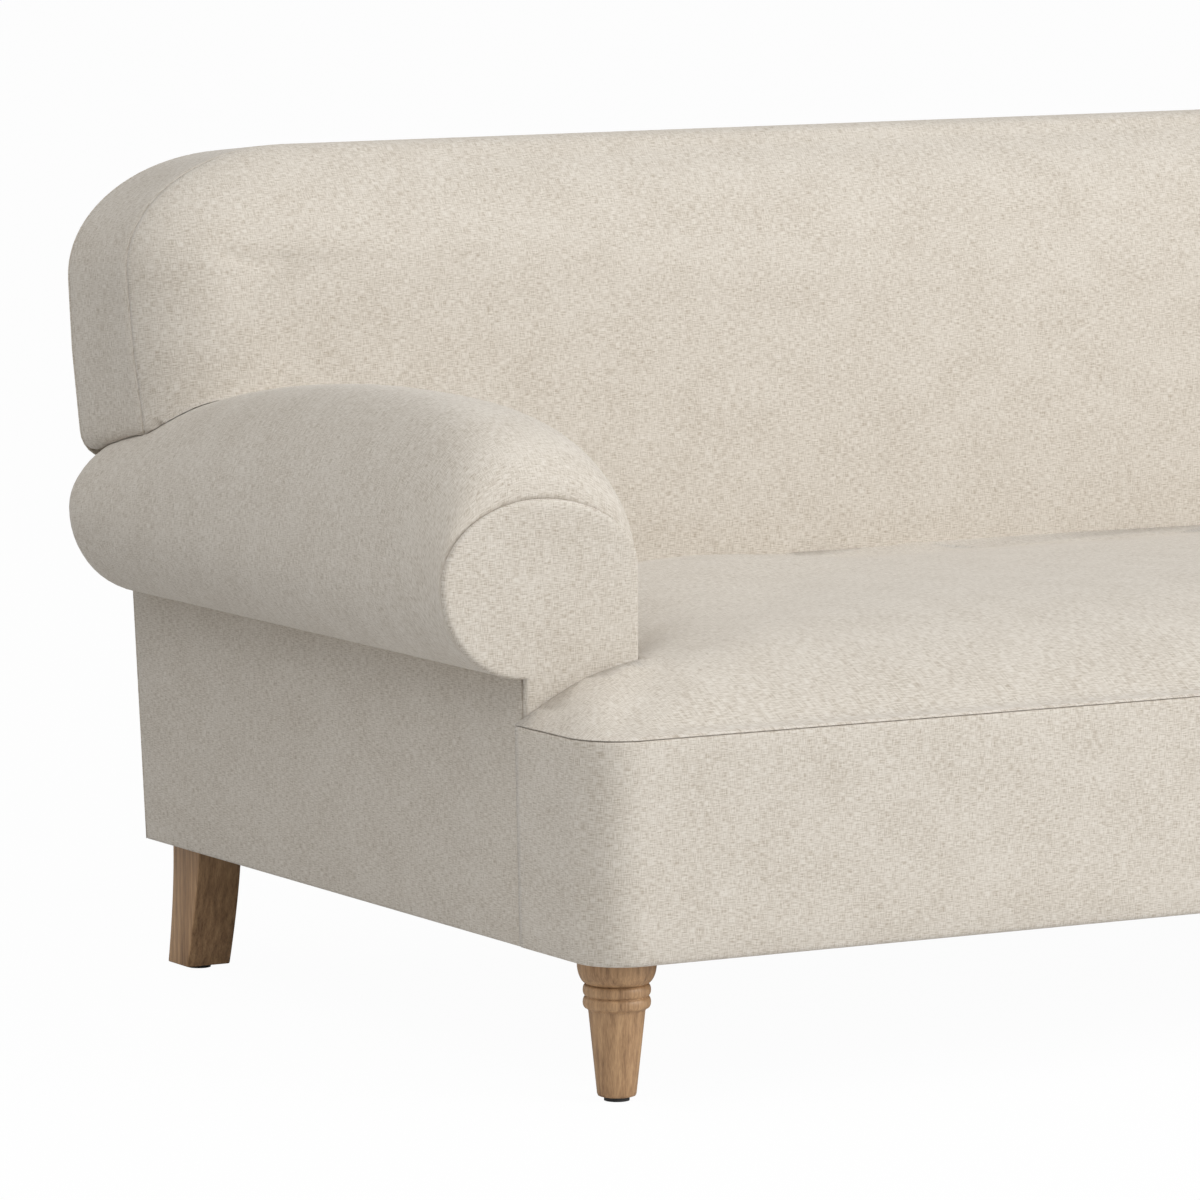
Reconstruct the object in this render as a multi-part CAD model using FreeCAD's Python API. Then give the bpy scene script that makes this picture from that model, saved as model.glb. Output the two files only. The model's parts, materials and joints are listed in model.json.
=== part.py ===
import FreeCAD, Part
import math
import os
from FreeCAD import Vector

# English roll arm sofa with a tight crowned T-shaped seat and a tight back, on four wooden legs.
# Millimetres. X runs across the sofa from its middle, Y from the front to the back and Z up from
# the floor. Pieces are drawn with y = 0 on the front of the body, and each one is moved at the
# end, so that the origin lies on the floor under the middle of the whole sofa.
# A left piece is drawn by its distance "s" inward from the outside face of the left side panel,
# and a height "h" is measured up from the underside of the body.

# Overall sizes
body_width = 1960.0         # between the outside faces of the two side panels
body_depth = 939.0          # front to rear corner of the underside
leg_height = 134.0
border_height = 211.0       # underside to the seam below the seat
back_height = 695.0         # underside to the top of the back, along its lean
back_rake = 6.0             # lean of the rear face, degrees

# Fabric, boards and clearances
skin = 3.0                  # cover fabric with its lining
gap = 0.3                   # running gap between soft pieces
board = 24.0                # frame board thickness
beam = 30.0                 # front and rear rail thickness
rail_height = 150.0
hole_gap = 0.2              # between a bolt and its hole, on the radius
flatness = 0.0001           # a padded face further from flat than this is folded in two

# Front border
border_proud = 12.0         # how far the T of the seat stands out past the side panels
border_taper = 5.0          # how much less it stands out at the underside
border_padding = 17.0
corner_round = 50.0         # plan radius of the two front corners
inner_round = 18.0          # the same inside the padding
rail_end = 17.0             # end of the front rail, in from the side panel

# Seat
crown_height = 84.0         # seam to the highest part of the seat
crown_width = 300.0         # distance over which the seat swells up from its seam
seat_depth = 742.0          # front of the body to the foot of the back
crown_shares = (0.0, 0.03, 0.09, 0.18, 0.32, 0.5, 0.72, 1.0)
seat_rear_share = 0.4       # how much steeper the swell is along the back
deck_height = 179.0         # underside of the body to the spring deck
deck_thickness = 2.0
edge_roll_depth = 15.0
seam_gap = 1.5
brace_height = 90.0

# Arms
arm_front = 150.0           # front of the body to the face of the arm
arm_width = 123.0           # inner face of the arm, in from the side panel
roll_overhang = 87.0        # roll, out past the side panel
roll_bottom = 253.0         # where the roll's underside meets the side panel
roll_middle = 343.0         # height of the roll's widest point
roll_crest = 15.0           # the roll's highest line, in from the side panel
roll_shoulder = 69.0        # how far the inner side drops below the crest
arm_pad = 24.0              # padding on the inner face of the arm
arm_pad_bottom = 185.0
facing_height = 421.0       # top of the arm's front face
facing_thickness = 8.0
facing_round = 4.0          # softened edge of the front face
arm_board_inset = 14.0      # padding round the arm's end boards
arm_rear_board = 838.0      # front of the body to the rear end board
arm_rail_from = 20.0        # top rail of the arm, in from the side panel
arm_rail_to = 90.0
base_opening = 5.0          # how far a cut runs past an open edge
arm_rear_board_top = 432.0
arm_rail_height = 335.0
slat_height = 38.0

# The crest of the roll rises from the face to a hump and sinks to the back:
# distance from the front, height of the crest, rounding-in of the rear end
arm_stations = [
    (158.0, 421.0, 0.0),
    (163.0, 437.0, 0.0),
    (173.0, 453.0, 0.0),
    (190.0, 469.0, 0.0),
    (215.0, 482.0, 0.0),
    (250.0, 491.0, 0.0),
    (310.0, 498.0, 0.0),
    (400.0, 502.0, 0.0),
    (490.0, 499.5, 0.0),
    (580.0, 492.0, 0.0),
    (670.0, 481.0, 0.0),
    (760.0, 464.5, 0.0),
    (850.0, 442.0, 0.0),
    (930.0, 418.0, 0.0),
    (944.0, 412.0, 5.0),
    (954.0, 408.0, 14.0),
    (960.0, 404.0, 30.0),
]

# Back
back_overhang = 54.0        # wide part of the back, out past the side panels
back_bottom = 183.0         # lower edge between the arms
back_shelf = 388.0          # lower edge over the arms
back_low_round = 30.0       # radius of the corner over each arm
back_waist = 500.0          # height at which the side is straight again
back_narrowing = 4.0        # how far the side draws in at the corner over the arm
back_corner_width = 190.0   # the top corner is a quarter of an ellipse
back_corner_height = 125.0
boxing_top = 126.0          # thickness of the back at its seam
back_wedge = 4.0            # extra lean of the front face, degrees
back_crown = [(0.0, 0.0), (3.0, 9.0), (10.0, 21.0), (24.0, 36.0), (48.0, 52.0), (80.0, 64.0), (112.0, 70.0)]

# Back frame, measured in the leaning plane of the back
post_depth = 50.0
post_width = 45.0
top_rail_bottom = 605.0
top_rail_height = 32.0
end_board_overhang = 12.0
end_board_bottom = 425.0
low_rail_bottom = 240.0
low_rail_height = 40.0
upright_place = 330.0
band_height = 60.0
band_thickness = 2.0
webbing_rows = 4
webbing_columns = 7

# Seat springs
spring_count = 9
spring_wire = 4.0
spring_half_pitch = 44.0
spring_half_width = 22.0
spring_arch = 18.0
spring_side_room = 60.0     # from the inner face of the arm to the nearest spring
clip_sheet = 2.0
clip_depth = 14.0
clip_play = 0.9             # room over the wire in its clip, for the slope of the arch
tie_wire = 3.0

# Legs
leg_inset_side = 49.0       # axis of the front leg, in from the side panel
leg_inset_front = 65.0
leg_top_radius = 37.3
leg_neck_radius = 26.9
leg_bead_radius = 31.0
leg_foot_radius = 18.5
leg_lip = 4.0               # straight edge at the top
leg_bead_top = 24.0         # top of the leg to its upper bead
leg_bead_height = 12.0
leg_waist = 62.0            # top of the leg to the start of the long taper
leg_waist_radius = 24.2
leg_foot_round = 4.0
glide_height = 4.0
glide_radius = 12.0
sabre_side = 28.0           # rear leg, in from the side panel
sabre_width = 49.0
sabre_front = 874.0         # front of the body to the top of its front edge
sabre_depth = 59.0
sabre_foot_depth = 43.0
sabre_sweep = 28.0          # how far the front edge sweeps back at the floor
sabre_bow = 0.36            # share of the sweep reached at half height
dust_cloth = 1.5
plate_size = 46.0
plate_thickness = 3.0
bolt_radius = 4.0
bolt_down = 35.0
bolt_up = 45.0
block_height = 60.0
block_size = 70.0

# Number of straight stretches in each quarter turn of a padded outline
corner_steps = 5
roll_steps = 7
low_steps = 3
back_steps = 8
bead_steps = 3
cove_steps = 3
arch_steps = 6

# Worked out from the sizes above
half = body_width / 2
seam = leg_height + border_height
rail_bottom = leg_height + skin
rail_top = rail_bottom + rail_height
front_rail_face = skin + border_padding + 1.0
front_rail_rear = front_rail_face + beam
rear_rail_rear = body_depth - skin
rear_rail_front = rear_rail_rear - beam
arm_body = arm_front + facing_thickness
rail_inside = skin + board
arm_board_inner = arm_width - arm_board_inset
sabre_middle = sabre_side + sabre_width / 2
sabre_bolt = sabre_front + sabre_depth / 3
lean = math.tan(math.radians(back_rake))


def up(height):
    """Turns a height above the underside of the body into one above the floor."""
    return leg_height + height


def left(s):
    """Turns a distance in from the left side panel into an X coordinate."""
    return s - half


def box(x0, x1, y0, y1, z0, z1):
    """Makes a box between two corners."""
    return Part.makeBox(x1 - x0, y1 - y0, z1 - z0, Vector(x0, y0, z0))


def side_box(s0, s1, y0, y1, z0, z1):
    """Makes a box on the left side, from distances in from the side panel."""
    return box(left(s0), left(s1), y0, y1, z0, z1)


def line(a, b):
    return Part.LineSegment(a, b).toShape()


def arc(a, through, b):
    return Part.Arc(a, through, b).toShape()


def polygon(points):
    """Makes a closed wire of straight edges."""
    return Part.makePolygon(points + [points[0]])


def prism(outline, direction):
    """Extrudes a closed outline of points."""
    return Part.Face(polygon(outline)).extrude(direction)


def loft(outlines):
    """Makes a solid through outlines of equally many points, with flat stretches between them."""
    faces = [Part.Face(polygon(outlines[0])), Part.Face(polygon(outlines[-1]))]
    for near, far in zip(outlines, outlines[1:]):
        for i in range(len(near)):
            faces += stretch(near[i - 1], near[i], far[i], far[i - 1])
    solid = Part.Solid(Part.makeShell(faces))
    if solid.Volume < 0:
        solid.reverse()
    return solid


def stretch(a, b, c, d):
    """Fills four points with one flat face, or with two where they don't lie in a plane."""
    normal = (b - a).cross(c - a)
    if abs(normal.normalize().dot(d - a)) < flatness:
        return [Part.Face(polygon([a, b, c, d]))]
    return [Part.Face(polygon([a, b, c])), Part.Face(polygon([a, c, d]))]


def mirrored(shape):
    """Gives the right-hand copy of a left-hand piece."""
    return shape.mirror(Vector(0, 0, 0), Vector(1, 0, 0))


def leaning(shape):
    """Leans a piece of the back about the rear edge of the underside."""
    copy = shape.copy()
    copy.rotate(Vector(0, body_depth, leg_height), Vector(1, 0, 0), -back_rake)
    return copy


# Outlines of the upholstery

def curve(centre, toward_start, toward_end, steps):
    """Points of a quarter ellipse, without its first one, between two reaches from its centre."""
    points = []
    for step in range(1, steps + 1):
        turn = math.pi / 2 * step / steps
        points.append(centre + toward_start * math.cos(turn) + toward_end * math.sin(turn))
    return points


def plan_outline(reach, front, rear, radius, z):
    """Outline in plan with two rounded front corners."""
    start = Vector(-reach, front + radius, z)
    centre = Vector(-reach + radius, front + radius, z)
    corner = [start] + curve(centre, Vector(-radius, 0, 0), Vector(0, -radius, 0), corner_steps)
    left_side = [Vector(-reach, rear, z)] + corner
    right_side = [Vector(-point.x, point.y, z) for point in reversed(left_side)]
    return left_side + right_side


def crown_rise(share):
    """Height of the seat's swell, as a share of its crown, at a share of the swell's width."""
    return 1 - (1 - share) ** 2.2


def seat_form(inset, sunk):
    """The crowned bench of the seat, before the arms and the back cut into it."""
    outlines = []
    for share in crown_shares:
        move = share * crown_width
        rise = crown_rise(share) * (crown_height - inset)
        reach = half + border_proud - inset - move
        rear = seat_depth + crown_width * seat_rear_share * (1 - share)
        radius = corner_round - inset + move * 0.5
        outlines.append(plan_outline(reach, inset + move, rear, radius, seam - sunk + rise))
    return loft(outlines)


def arm_and_back_space(clearance):
    """The room of both arms and of the back above the seat deck."""
    low = up(deck_height) - 1
    high = up(back_height)
    inner = left(arm_width + clearance)
    arm = box(-body_width, inner, arm_front - clearance, body_depth, low, high)
    back = box(-body_width, body_width, seat_depth - clearance, 2 * body_depth, low, high)
    return [arm, mirrored(arm), back]


def border_form(inset, top):
    """The front border, a little fuller at the seam than at the underside."""
    outlines = []
    for share in (0.0, 0.5, 1.0):
        reach = half + border_proud - border_taper * (1 - share) - inset
        z = leg_height + share * (top - leg_height)
        outlines.append(plan_outline(reach, inset, arm_front - gap, corner_round - inset, z))
    return loft(outlines)


def border_hollow(clearance):
    """The room behind the front border, open to the back."""
    reach = half - skin + gap - clearance
    front = skin + border_padding + clearance
    outline = plan_outline(reach, front, body_depth, inner_round, leg_height - 1)
    return prism(outline, Vector(0, 0, border_height + 2))


def roll_points(y, top, inset, round_in):
    """The roll's outline, from the inner shoulder over the crest and round to the side panel."""
    crest = up(top) - inset - round_in / 2
    outer = roll_overhang - inset - round_in
    shoulder = Vector(left(arm_width - inset), y, up(top) - roll_shoulder - inset / 2)
    crest_point = Vector(left(roll_crest), y, crest)
    widest = Vector(left(-outer), y, up(roll_middle))
    contact = Vector(left(skin + inset), y, up(roll_bottom))
    points = [shoulder]
    for start, finish, centre in (
            (shoulder, crest_point, Vector(crest_point.x, y, shoulder.z)),
            (crest_point, widest, Vector(crest_point.x, y, widest.z)),
            (widest, contact, Vector(contact.x, y, widest.z))):
        points += curve(centre, start - centre, finish - centre, roll_steps)
    return points


def arm_form(inset, opening):
    """The padded arm: roll and inner pad. An opening carries its base lines past the skin."""
    outlines = []
    inner = left(arm_width - arm_pad - opening)
    roll_base = up(roll_bottom) - opening
    pad_base = up(arm_pad_bottom) - opening
    for place, top, round_in in arm_stations:
        y = place
        if place == arm_stations[0][0]:
            y = place - opening
        if place == arm_stations[-1][0]:
            y = place - inset
        base = [Vector(inner, y, roll_base), Vector(inner, y, pad_base),
                Vector(left(arm_width - inset), y, pad_base)]
        if opening:
            base.insert(0, Vector(left(skin + inset), y, roll_base))
        outlines.append(roll_points(y, top, inset, round_in) + base)
    return loft(outlines)


def end_outline(y, top, inset, foot, outside, inside):
    """Outline of a front face or an end board: the roll on a straight neck."""
    neck = [Vector(left(outside), y, foot), Vector(left(inside), y, foot)]
    if outside - skin - inset > gap:
        neck.insert(0, Vector(left(outside), y, up(roll_bottom)))
    return roll_points(y, top, inset, 0) + neck


def back_outline(inset, y, bottom):
    """Outline of the back: wide over the arms, narrower between them, with a low crest."""
    low = max(back_low_round - inset, back_low_round / 5)
    side = left(inset - back_overhang)
    tucked = side + back_narrowing
    inner = left(arm_width + gap + inset)
    shelf = up(back_shelf) + inset
    top = up(back_height) - inset
    corner_width = back_corner_width - inset
    corner_height = back_corner_height - inset
    low_centre = Vector(tucked + low, y, shelf + low)
    corner_centre = Vector(side + corner_width, y, top - corner_height)
    points = [Vector(inner, y, bottom), Vector(inner, y, shelf), Vector(tucked + low, y, shelf)]
    points += curve(low_centre, Vector(0, 0, -low), Vector(-low, 0, 0), low_steps)
    points += [Vector(side, y, up(back_waist)), Vector(side, y, corner_centre.z)]
    points += curve(corner_centre, Vector(-corner_width, 0, 0), Vector(0, 0, corner_height), back_steps)
    return points + [Vector(-point.x, y, point.z) for point in reversed(points)]


def back_form(inset, opening):
    """The padded back before it leans: boxing, then a crowned front on a slight wedge."""
    bottom = up(back_bottom) + inset
    face = body_depth - boxing_top
    hinge = Vector(0, face, up(back_height))
    wedge = FreeCAD.Rotation(Vector(1, 0, 0), -back_wedge)
    outlines = [back_outline(inset, body_depth - skin + opening, bottom)]
    for move, forward in back_crown:
        outline = back_outline(inset + move, face - forward + inset, bottom + move)
        outlines.append([hinge + wedge.multVec(point - hinge) for point in outline])
    return loft(outlines)



# Base frame

def front_rail():
    reach = half - rail_end
    return box(-reach, reach, front_rail_face, front_rail_rear, rail_bottom, rail_top)


def rear_rail():
    reach = half - rail_inside - block_size
    return box(-reach, reach, rear_rail_front, rear_rail_rear, rail_bottom, rail_top)


def side_rail():
    return side_box(skin, rail_inside, front_rail_rear, rear_rail_rear, rail_bottom, rail_top)


def cross_brace(x):
    top = rail_bottom + brace_height
    return box(x - board / 2, x + board / 2, front_rail_rear, rear_rail_front, rail_bottom, top)


def corner_block(y0, bolt_s, bolt_y):
    """Glue block in a corner of the frame, bored for the bolt of its leg."""
    top = rail_bottom + block_height
    block = side_box(rail_inside, rail_inside + block_size, y0, y0 + block_size, rail_bottom, top)
    return block.cut(bolt_hole(bolt_s, bolt_y))


def wing_block():
    """Block that carries the part of the seat in front of the arm."""
    top = up(deck_height) + deck_thickness
    return side_box(rail_end, arm_board_inner, front_rail_face, arm_front - 1, rail_top, top)


# Legs and what fastens them

def bolt_hole(s, y):
    height = bolt_down + plate_thickness + bolt_up + hole_gap
    return Part.makeCylinder(bolt_radius + hole_gap, height, Vector(left(s), y, up(-bolt_down) - hole_gap))


def hanger_bolt(s, y):
    """Bolt that stands in the leg and runs up through its plate into the corner block."""
    height = bolt_down + plate_thickness + bolt_up - hole_gap
    return Part.makeCylinder(bolt_radius, height, Vector(left(s), y, up(-bolt_down)))


def leg_plate(s, y):
    reach = plate_size / 2
    plate = side_box(s - reach, s + reach, y - reach, y + reach, leg_height, rail_bottom)
    return plate.cut(bolt_hole(s, y))


def glide(s, y):
    return Part.makeCylinder(glide_radius, glide_height, Vector(left(s), y, 0))


def bead(depth, height, root, reach):
    """Profile of a turned bead, without its first point."""
    points = []
    for step in range(1, bead_steps + 1):
        turn = math.pi * step / bead_steps
        out = root + (reach - root) * math.sin(turn)
        points.append(Vector(out, 0, -depth - height * (1 - math.cos(turn)) / 2))
    return points


def turned_leg():
    """Front leg: cove under the top, two beads at the neck and a long taper to the floor."""
    foot = leg_height - glide_height
    cove_height = leg_bead_top - leg_lip
    cove_centre = Vector(leg_top_radius, 0, -leg_bead_top)
    cove_reach = leg_top_radius - leg_neck_radius
    profile = [Vector(0, 0, 0), Vector(leg_top_radius, 0, 0), Vector(leg_top_radius, 0, -leg_lip)]
    profile += curve(cove_centre, Vector(0, 0, cove_height), Vector(-cove_reach, 0, 0), cove_steps)
    for row in range(2):
        depth = leg_bead_top + row * leg_bead_height
        profile += bead(depth, leg_bead_height, leg_neck_radius, leg_bead_radius)
    profile += [
        Vector(leg_waist_radius, 0, -leg_waist), Vector(leg_foot_radius, 0, leg_foot_round - foot),
        Vector(leg_foot_radius - leg_foot_round, 0, -foot), Vector(0, 0, -foot)]
    leg = Part.Face(polygon(profile)).revolve(Vector(0, 0, 0), Vector(0, 0, 1), 360)
    leg.translate(Vector(left(leg_inset_side), leg_inset_front, leg_height))
    return leg.cut(bolt_hole(leg_inset_side, leg_inset_front))


def sabre_leg():
    """Rear leg: a square leg whose curved sides sweep back to a narrower foot."""
    x = left(sabre_side)
    middle = (leg_height + glide_height) / 2
    rear_sweep = sabre_sweep + sabre_foot_depth - sabre_depth
    front_top = Vector(x, sabre_front, leg_height)
    rear_top = Vector(x, sabre_front + sabre_depth, leg_height)
    rear_foot = Vector(x, rear_top.y + rear_sweep, glide_height)
    front_foot = Vector(x, sabre_front + sabre_sweep, glide_height)
    rear_bend = Vector(x, rear_top.y + rear_sweep * sabre_bow, middle)
    front_bend = Vector(x, sabre_front + sabre_sweep * sabre_bow, middle)
    outline = Part.Wire([
        line(front_top, rear_top), arc(rear_top, rear_bend, rear_foot),
        line(rear_foot, front_foot), arc(front_foot, front_bend, front_top)])
    leg = Part.Face(outline).extrude(Vector(sabre_width, 0, 0))
    return leg.cut(bolt_hole(sabre_middle, sabre_bolt))


def dust_cover():
    """Thin cloth under the frame, cut out round the leg plates."""
    reach = half - rail_inside / 2
    front = front_rail_rear - beam / 2
    rear = rear_rail_front + beam / 2
    cloth = box(-reach, reach, front, rear, rail_bottom - dust_cloth, rail_bottom)
    for s, y in ((leg_inset_side, leg_inset_front), (sabre_middle, sabre_bolt)):
        room = plate_size / 2 + 1
        hole = side_box(s - room, s + room, y - room, y + room, leg_height, rail_top)
        cloth = cloth.cut(hole).cut(mirrored(hole))
    return cloth


# Seat

def strip(points, width):
    """Outline of a flat strip of even width along a route of points in plan."""
    sides = []
    for reach in (width / 2, -width / 2):
        side = []
        for i, point in enumerate(points):
            before = point - points[max(i - 1, 0)]
            after = points[min(i + 1, len(points) - 1)] - point
            turns = [Vector(-d.y, d.x, 0).normalize() for d in (before, after) if d.Length > 0]
            mitre = turns[0] + turns[-1]
            mitre = mitre * (2 / mitre.dot(mitre))
            side.append(point + mitre * reach)
        sides.append(side)
    return sides[0] + sides[1][::-1]


def spring_sheet(rise, thickness):
    """Arched band in which the springs or the wires tied to them lie."""
    low = rail_top + clip_sheet + rise
    front = front_rail_rear - clip_depth
    rear = rear_rail_front + clip_depth
    bottom = []
    for step in range(arch_steps + 1):
        share = step / arch_steps
        height = low + spring_arch * (1 - (2 * share - 1) ** 2)
        bottom.append(Vector(-half, front + share * (rear - front), height))
    top = [point + Vector(0, 0, thickness) for point in reversed(bottom)]
    return prism(bottom + top, Vector(body_width, 0, 0))


def sinuous_spring():
    """Flat-sided zigzag spring wire, arched from the front rail to the rear rail."""
    start = front_rail_rear - clip_depth + clip_sheet + spring_wire
    finish = rear_rail_front + clip_depth - clip_sheet - spring_wire
    bars = 2 * round((finish - start) / spring_half_pitch / 2)
    pitch = (finish - start) / bars
    points = []
    for bar in range(bars + 1):
        direction = 1 if bar % 2 else -1
        y = start + bar * pitch
        points.append(Vector(-direction * spring_half_width, y, rail_top))
        points.append(Vector(direction * spring_half_width, y, rail_top))
    zigzag = prism(strip(points, spring_wire), Vector(0, 0, 2 * border_height))
    return zigzag.common(spring_sheet(0, spring_wire))


def spring_places():
    """X of each spring, evenly spread between the arms."""
    reach = half - arm_width - spring_side_room
    return [-reach + 2 * reach * i / (spring_count - 1) for i in range(spring_count)]


def spring_clip():
    """Bent steel clip on the front rail that holds the end bar of a spring."""
    front = front_rail_rear - clip_depth
    x = -spring_half_width + spring_wire
    inner = rail_top + clip_sheet + spring_wire + clip_play
    outline = [
        Vector(x, front, rail_top), Vector(x, front_rail_rear, rail_top),
        Vector(x, front_rail_rear, rail_top + clip_sheet),
        Vector(x, front + clip_sheet, rail_top + clip_sheet),
        Vector(x, front + clip_sheet, inner), Vector(x, front_rail_rear - clip_sheet, inner),
        Vector(x, front_rail_rear - clip_sheet, inner + clip_sheet),
        Vector(x, front, inner + clip_sheet)]
    return prism(outline, Vector(-2 * x, 0, 0))


def spring_clips():
    """A clip at both ends of every spring."""
    front = spring_clip()
    middle = Vector(0, (front_rail_rear + rear_rail_front) / 2, 0)
    rear = front.mirror(middle, Vector(0, 1, 0))
    return at_springs(front) + at_springs(rear)


def at_springs(shape):
    """Copies of a piece at the place of every spring."""
    return [shape.translated(Vector(x, 0, 0)) for x in spring_places()]


def tie_wires():
    """Three cross wires just under the springs."""
    sheet = spring_sheet(-tie_wire - gap, tie_wire)
    reach = spring_places()[-1] + spring_half_width
    bars = []
    for share in (0.25, 0.5, 0.75):
        y = front_rail_rear + share * (rear_rail_front - front_rail_rear)
        bar = box(-reach, reach, y - tie_wire / 2, y + tie_wire / 2, rail_bottom, 2 * rail_top)
        bars.append(bar.common(sheet))
    return bars


def edge_roll():
    """Firm roll along the front rail that keeps the foam level with the deck."""
    reach = half - arm_board_inner
    top = up(deck_height) + deck_thickness
    return box(-reach, reach, front_rail_face, front_rail_face + edge_roll_depth, rail_top, top)


def seat_deck():
    """Burlap over the springs."""
    reach = half - arm_board_inner - gap
    bottom = up(deck_height)
    front = front_rail_face + edge_roll_depth
    return box(-reach, reach, front, rear_rail_rear, bottom, bottom + deck_thickness)


def seat_foam():
    """Crowned foam of the seat on a straight-sided block between the front border and the arms."""
    bottom = up(deck_height) + deck_thickness
    layer = box(-half, half, 0, seat_depth, bottom, seam - seam_gap)
    block = border_hollow(gap).common(layer)
    crown = seat_form(skin + gap, seam_gap)
    return block.fuse(crown).cut(arm_and_back_space(gap + skin)).removeSplitter()


def seat_cover():
    shell = seat_form(0, 0).cut(seat_form(skin, seam_gap))
    return shell.cut(arm_and_back_space(gap))


def front_border_cover():
    top = seam - seam_gap - gap
    return border_form(0, top).cut(border_form(skin, top))


def front_border_padding():
    top = seam - seam_gap - gap
    return border_form(skin + gap, top).cut(border_hollow(0))


# Arms

def arm_end_board(y, top):
    """Board at an end of the arm: it fills the roll and stands on a neck beside the side rail."""
    outline = end_outline(y, top, arm_board_inset, rail_bottom, rail_inside, arm_board_inner)
    return prism(outline, Vector(0, board, 0))


def arm_front_board():
    return arm_end_board(arm_body, facing_height)


def arm_rear_end_board():
    return arm_end_board(arm_rear_board, arm_rear_board_top)


def arm_top_rail():
    """Flat rail in the roll, from one end board to the other."""
    bottom = up(arm_rail_height)
    return side_box(arm_rail_from, arm_rail_to, arm_body + board, arm_rear_board, bottom, bottom + board)


def arm_tack_slats():
    """Slats between the end boards, to which the arm's fabric is fastened."""
    front = arm_body + board
    outer_top = up(roll_bottom)
    inner_bottom = up(arm_pad_bottom) + gap
    inner_face = arm_width - arm_pad
    outer = side_box(skin, rail_inside, arm_body, rear_rail_rear, outer_top - slat_height, outer_top)
    inner = side_box(inner_face - board, inner_face, front, arm_rear_board, inner_bottom,
                     inner_bottom + slat_height)
    return [outer, inner]


def arm_frame():
    """Everything that is buried in the arm's padding, with the room that the back frame takes."""
    return [arm_front_board(), arm_rear_end_board(), arm_top_rail(), leaning(back_hollow())]


def arm_foam():
    return arm_form(skin + gap, 0).cut(arm_frame())


def arm_cover():
    shell = arm_form(0, 0).cut(arm_form(skin, base_opening))
    return shell.cut([arm_front_board(), leaning(back_hollow())])


def arm_facing():
    """Padded front face of the arm, softened at its edge."""
    foot = up(border_height) + gap
    outlines = []
    for y, inset in ((arm_front, facing_round), (arm_front + facing_round, 0), (arm_body, 0)):
        outside = skin + inset
        outlines.append(end_outline(y, facing_height, inset, foot, outside, arm_width - inset))
    return loft(outlines)


def outside_arm_panel():
    """Flat panel under the roll, with its rear edge on the lean of the back."""
    rear = body_depth - skin - gap
    top = up(roll_bottom)
    x = left(0)
    outline = [
        Vector(x, arm_front, leg_height), Vector(x, rear, leg_height),
        Vector(x, rear + roll_bottom * lean, top), Vector(x, arm_front, top)]
    return prism(outline, Vector(skin, 0, 0))


# Back

def back_post():
    """Post that stands on the rear corner block and leans with the back."""
    post = side_box(rail_inside, rail_inside + post_width, rear_rail_rear - post_depth,
                    rear_rail_rear, leg_height, up(top_rail_bottom))
    below = side_box(-half, half, 0, 2 * body_depth, 0, rail_bottom + block_height)
    return leaning(post).cut(below)


def back_top_rail():
    reach = half + end_board_overhang
    bottom = up(top_rail_bottom)
    rail = box(-reach, reach, rear_rail_rear - post_depth, rear_rail_rear, bottom, bottom + top_rail_height)
    return leaning(rail)


def back_end_board():
    """Board that shapes the part of the back standing out over the arm."""
    upright = side_box(-end_board_overhang, board - end_board_overhang, rear_rail_rear - post_depth,
                       rear_rail_rear, up(end_board_bottom), up(top_rail_bottom))
    return leaning(upright)


def back_end_rail():
    """Short rail from the back post to the end board, over the arm."""
    bottom = up(end_board_bottom)
    rail = side_box(board - end_board_overhang, rail_inside, rear_rail_rear - board,
                    rear_rail_rear, bottom, bottom + top_rail_height)
    return leaning(rail)


def back_low_rail():
    reach = half - rail_inside - post_width
    front = rear_rail_rear - post_depth
    bottom = up(low_rail_bottom)
    return leaning(box(-reach, reach, front, front + board, bottom, bottom + low_rail_height))


def back_upright(x):
    front = rear_rail_rear - post_depth
    bottom = up(low_rail_bottom + low_rail_height)
    post = box(x - post_width / 2, x + post_width / 2, front, front + board, bottom, up(top_rail_bottom))
    return leaning(post)


def back_webbing():
    """Bands across the back frame, with upright bands in front of them."""
    face = rear_rail_rear - post_depth
    reach = half - rail_inside
    low = up(low_rail_bottom)
    high = up(top_rail_bottom + top_rail_height)
    bands = []
    for row in range(webbing_rows):
        bottom = low + (high - low - band_height) * row / (webbing_rows - 1)
        bands.append(box(-reach, reach, face - band_thickness, face, bottom, bottom + band_height))
    clear = half - arm_width - band_height
    for column in range(webbing_columns):
        x = -clear + 2 * clear * column / (webbing_columns - 1)
        front = face - 2 * band_thickness
        bands.append(box(x - band_height / 2, x + band_height / 2, front, front + band_thickness, low, high))
    return [leaning(band) for band in bands]


def back_hollow():
    """The room that the back frame and its webbing take in the foam."""
    front = rear_rail_rear - post_depth - 2 * band_thickness
    rear = body_depth + skin
    wide = half + end_board_overhang
    low = half - rail_inside
    wide_room = box(-wide, wide, front, rear, up(end_board_bottom), up(top_rail_bottom + top_rail_height))
    low_room = box(-low, low, front, rear, leg_height, up(end_board_bottom))
    return wide_room.fuse(low_room)


def back_foam():
    foam = back_form(skin + gap, 0).cut(back_hollow())
    arms = [arm_form(-gap, 0), mirrored(arm_form(-gap, 0))]
    return leaning(foam).cut(arms)


def back_cover():
    """Front and boxing of the back in one skin, cut away over the arms."""
    shell = leaning(back_form(0, 0).cut([back_form(skin, base_opening), back_hollow()]))
    arms = [arm_form(-gap, 0), mirrored(arm_form(-gap, 0))]
    return shell.cut(arms)


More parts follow.
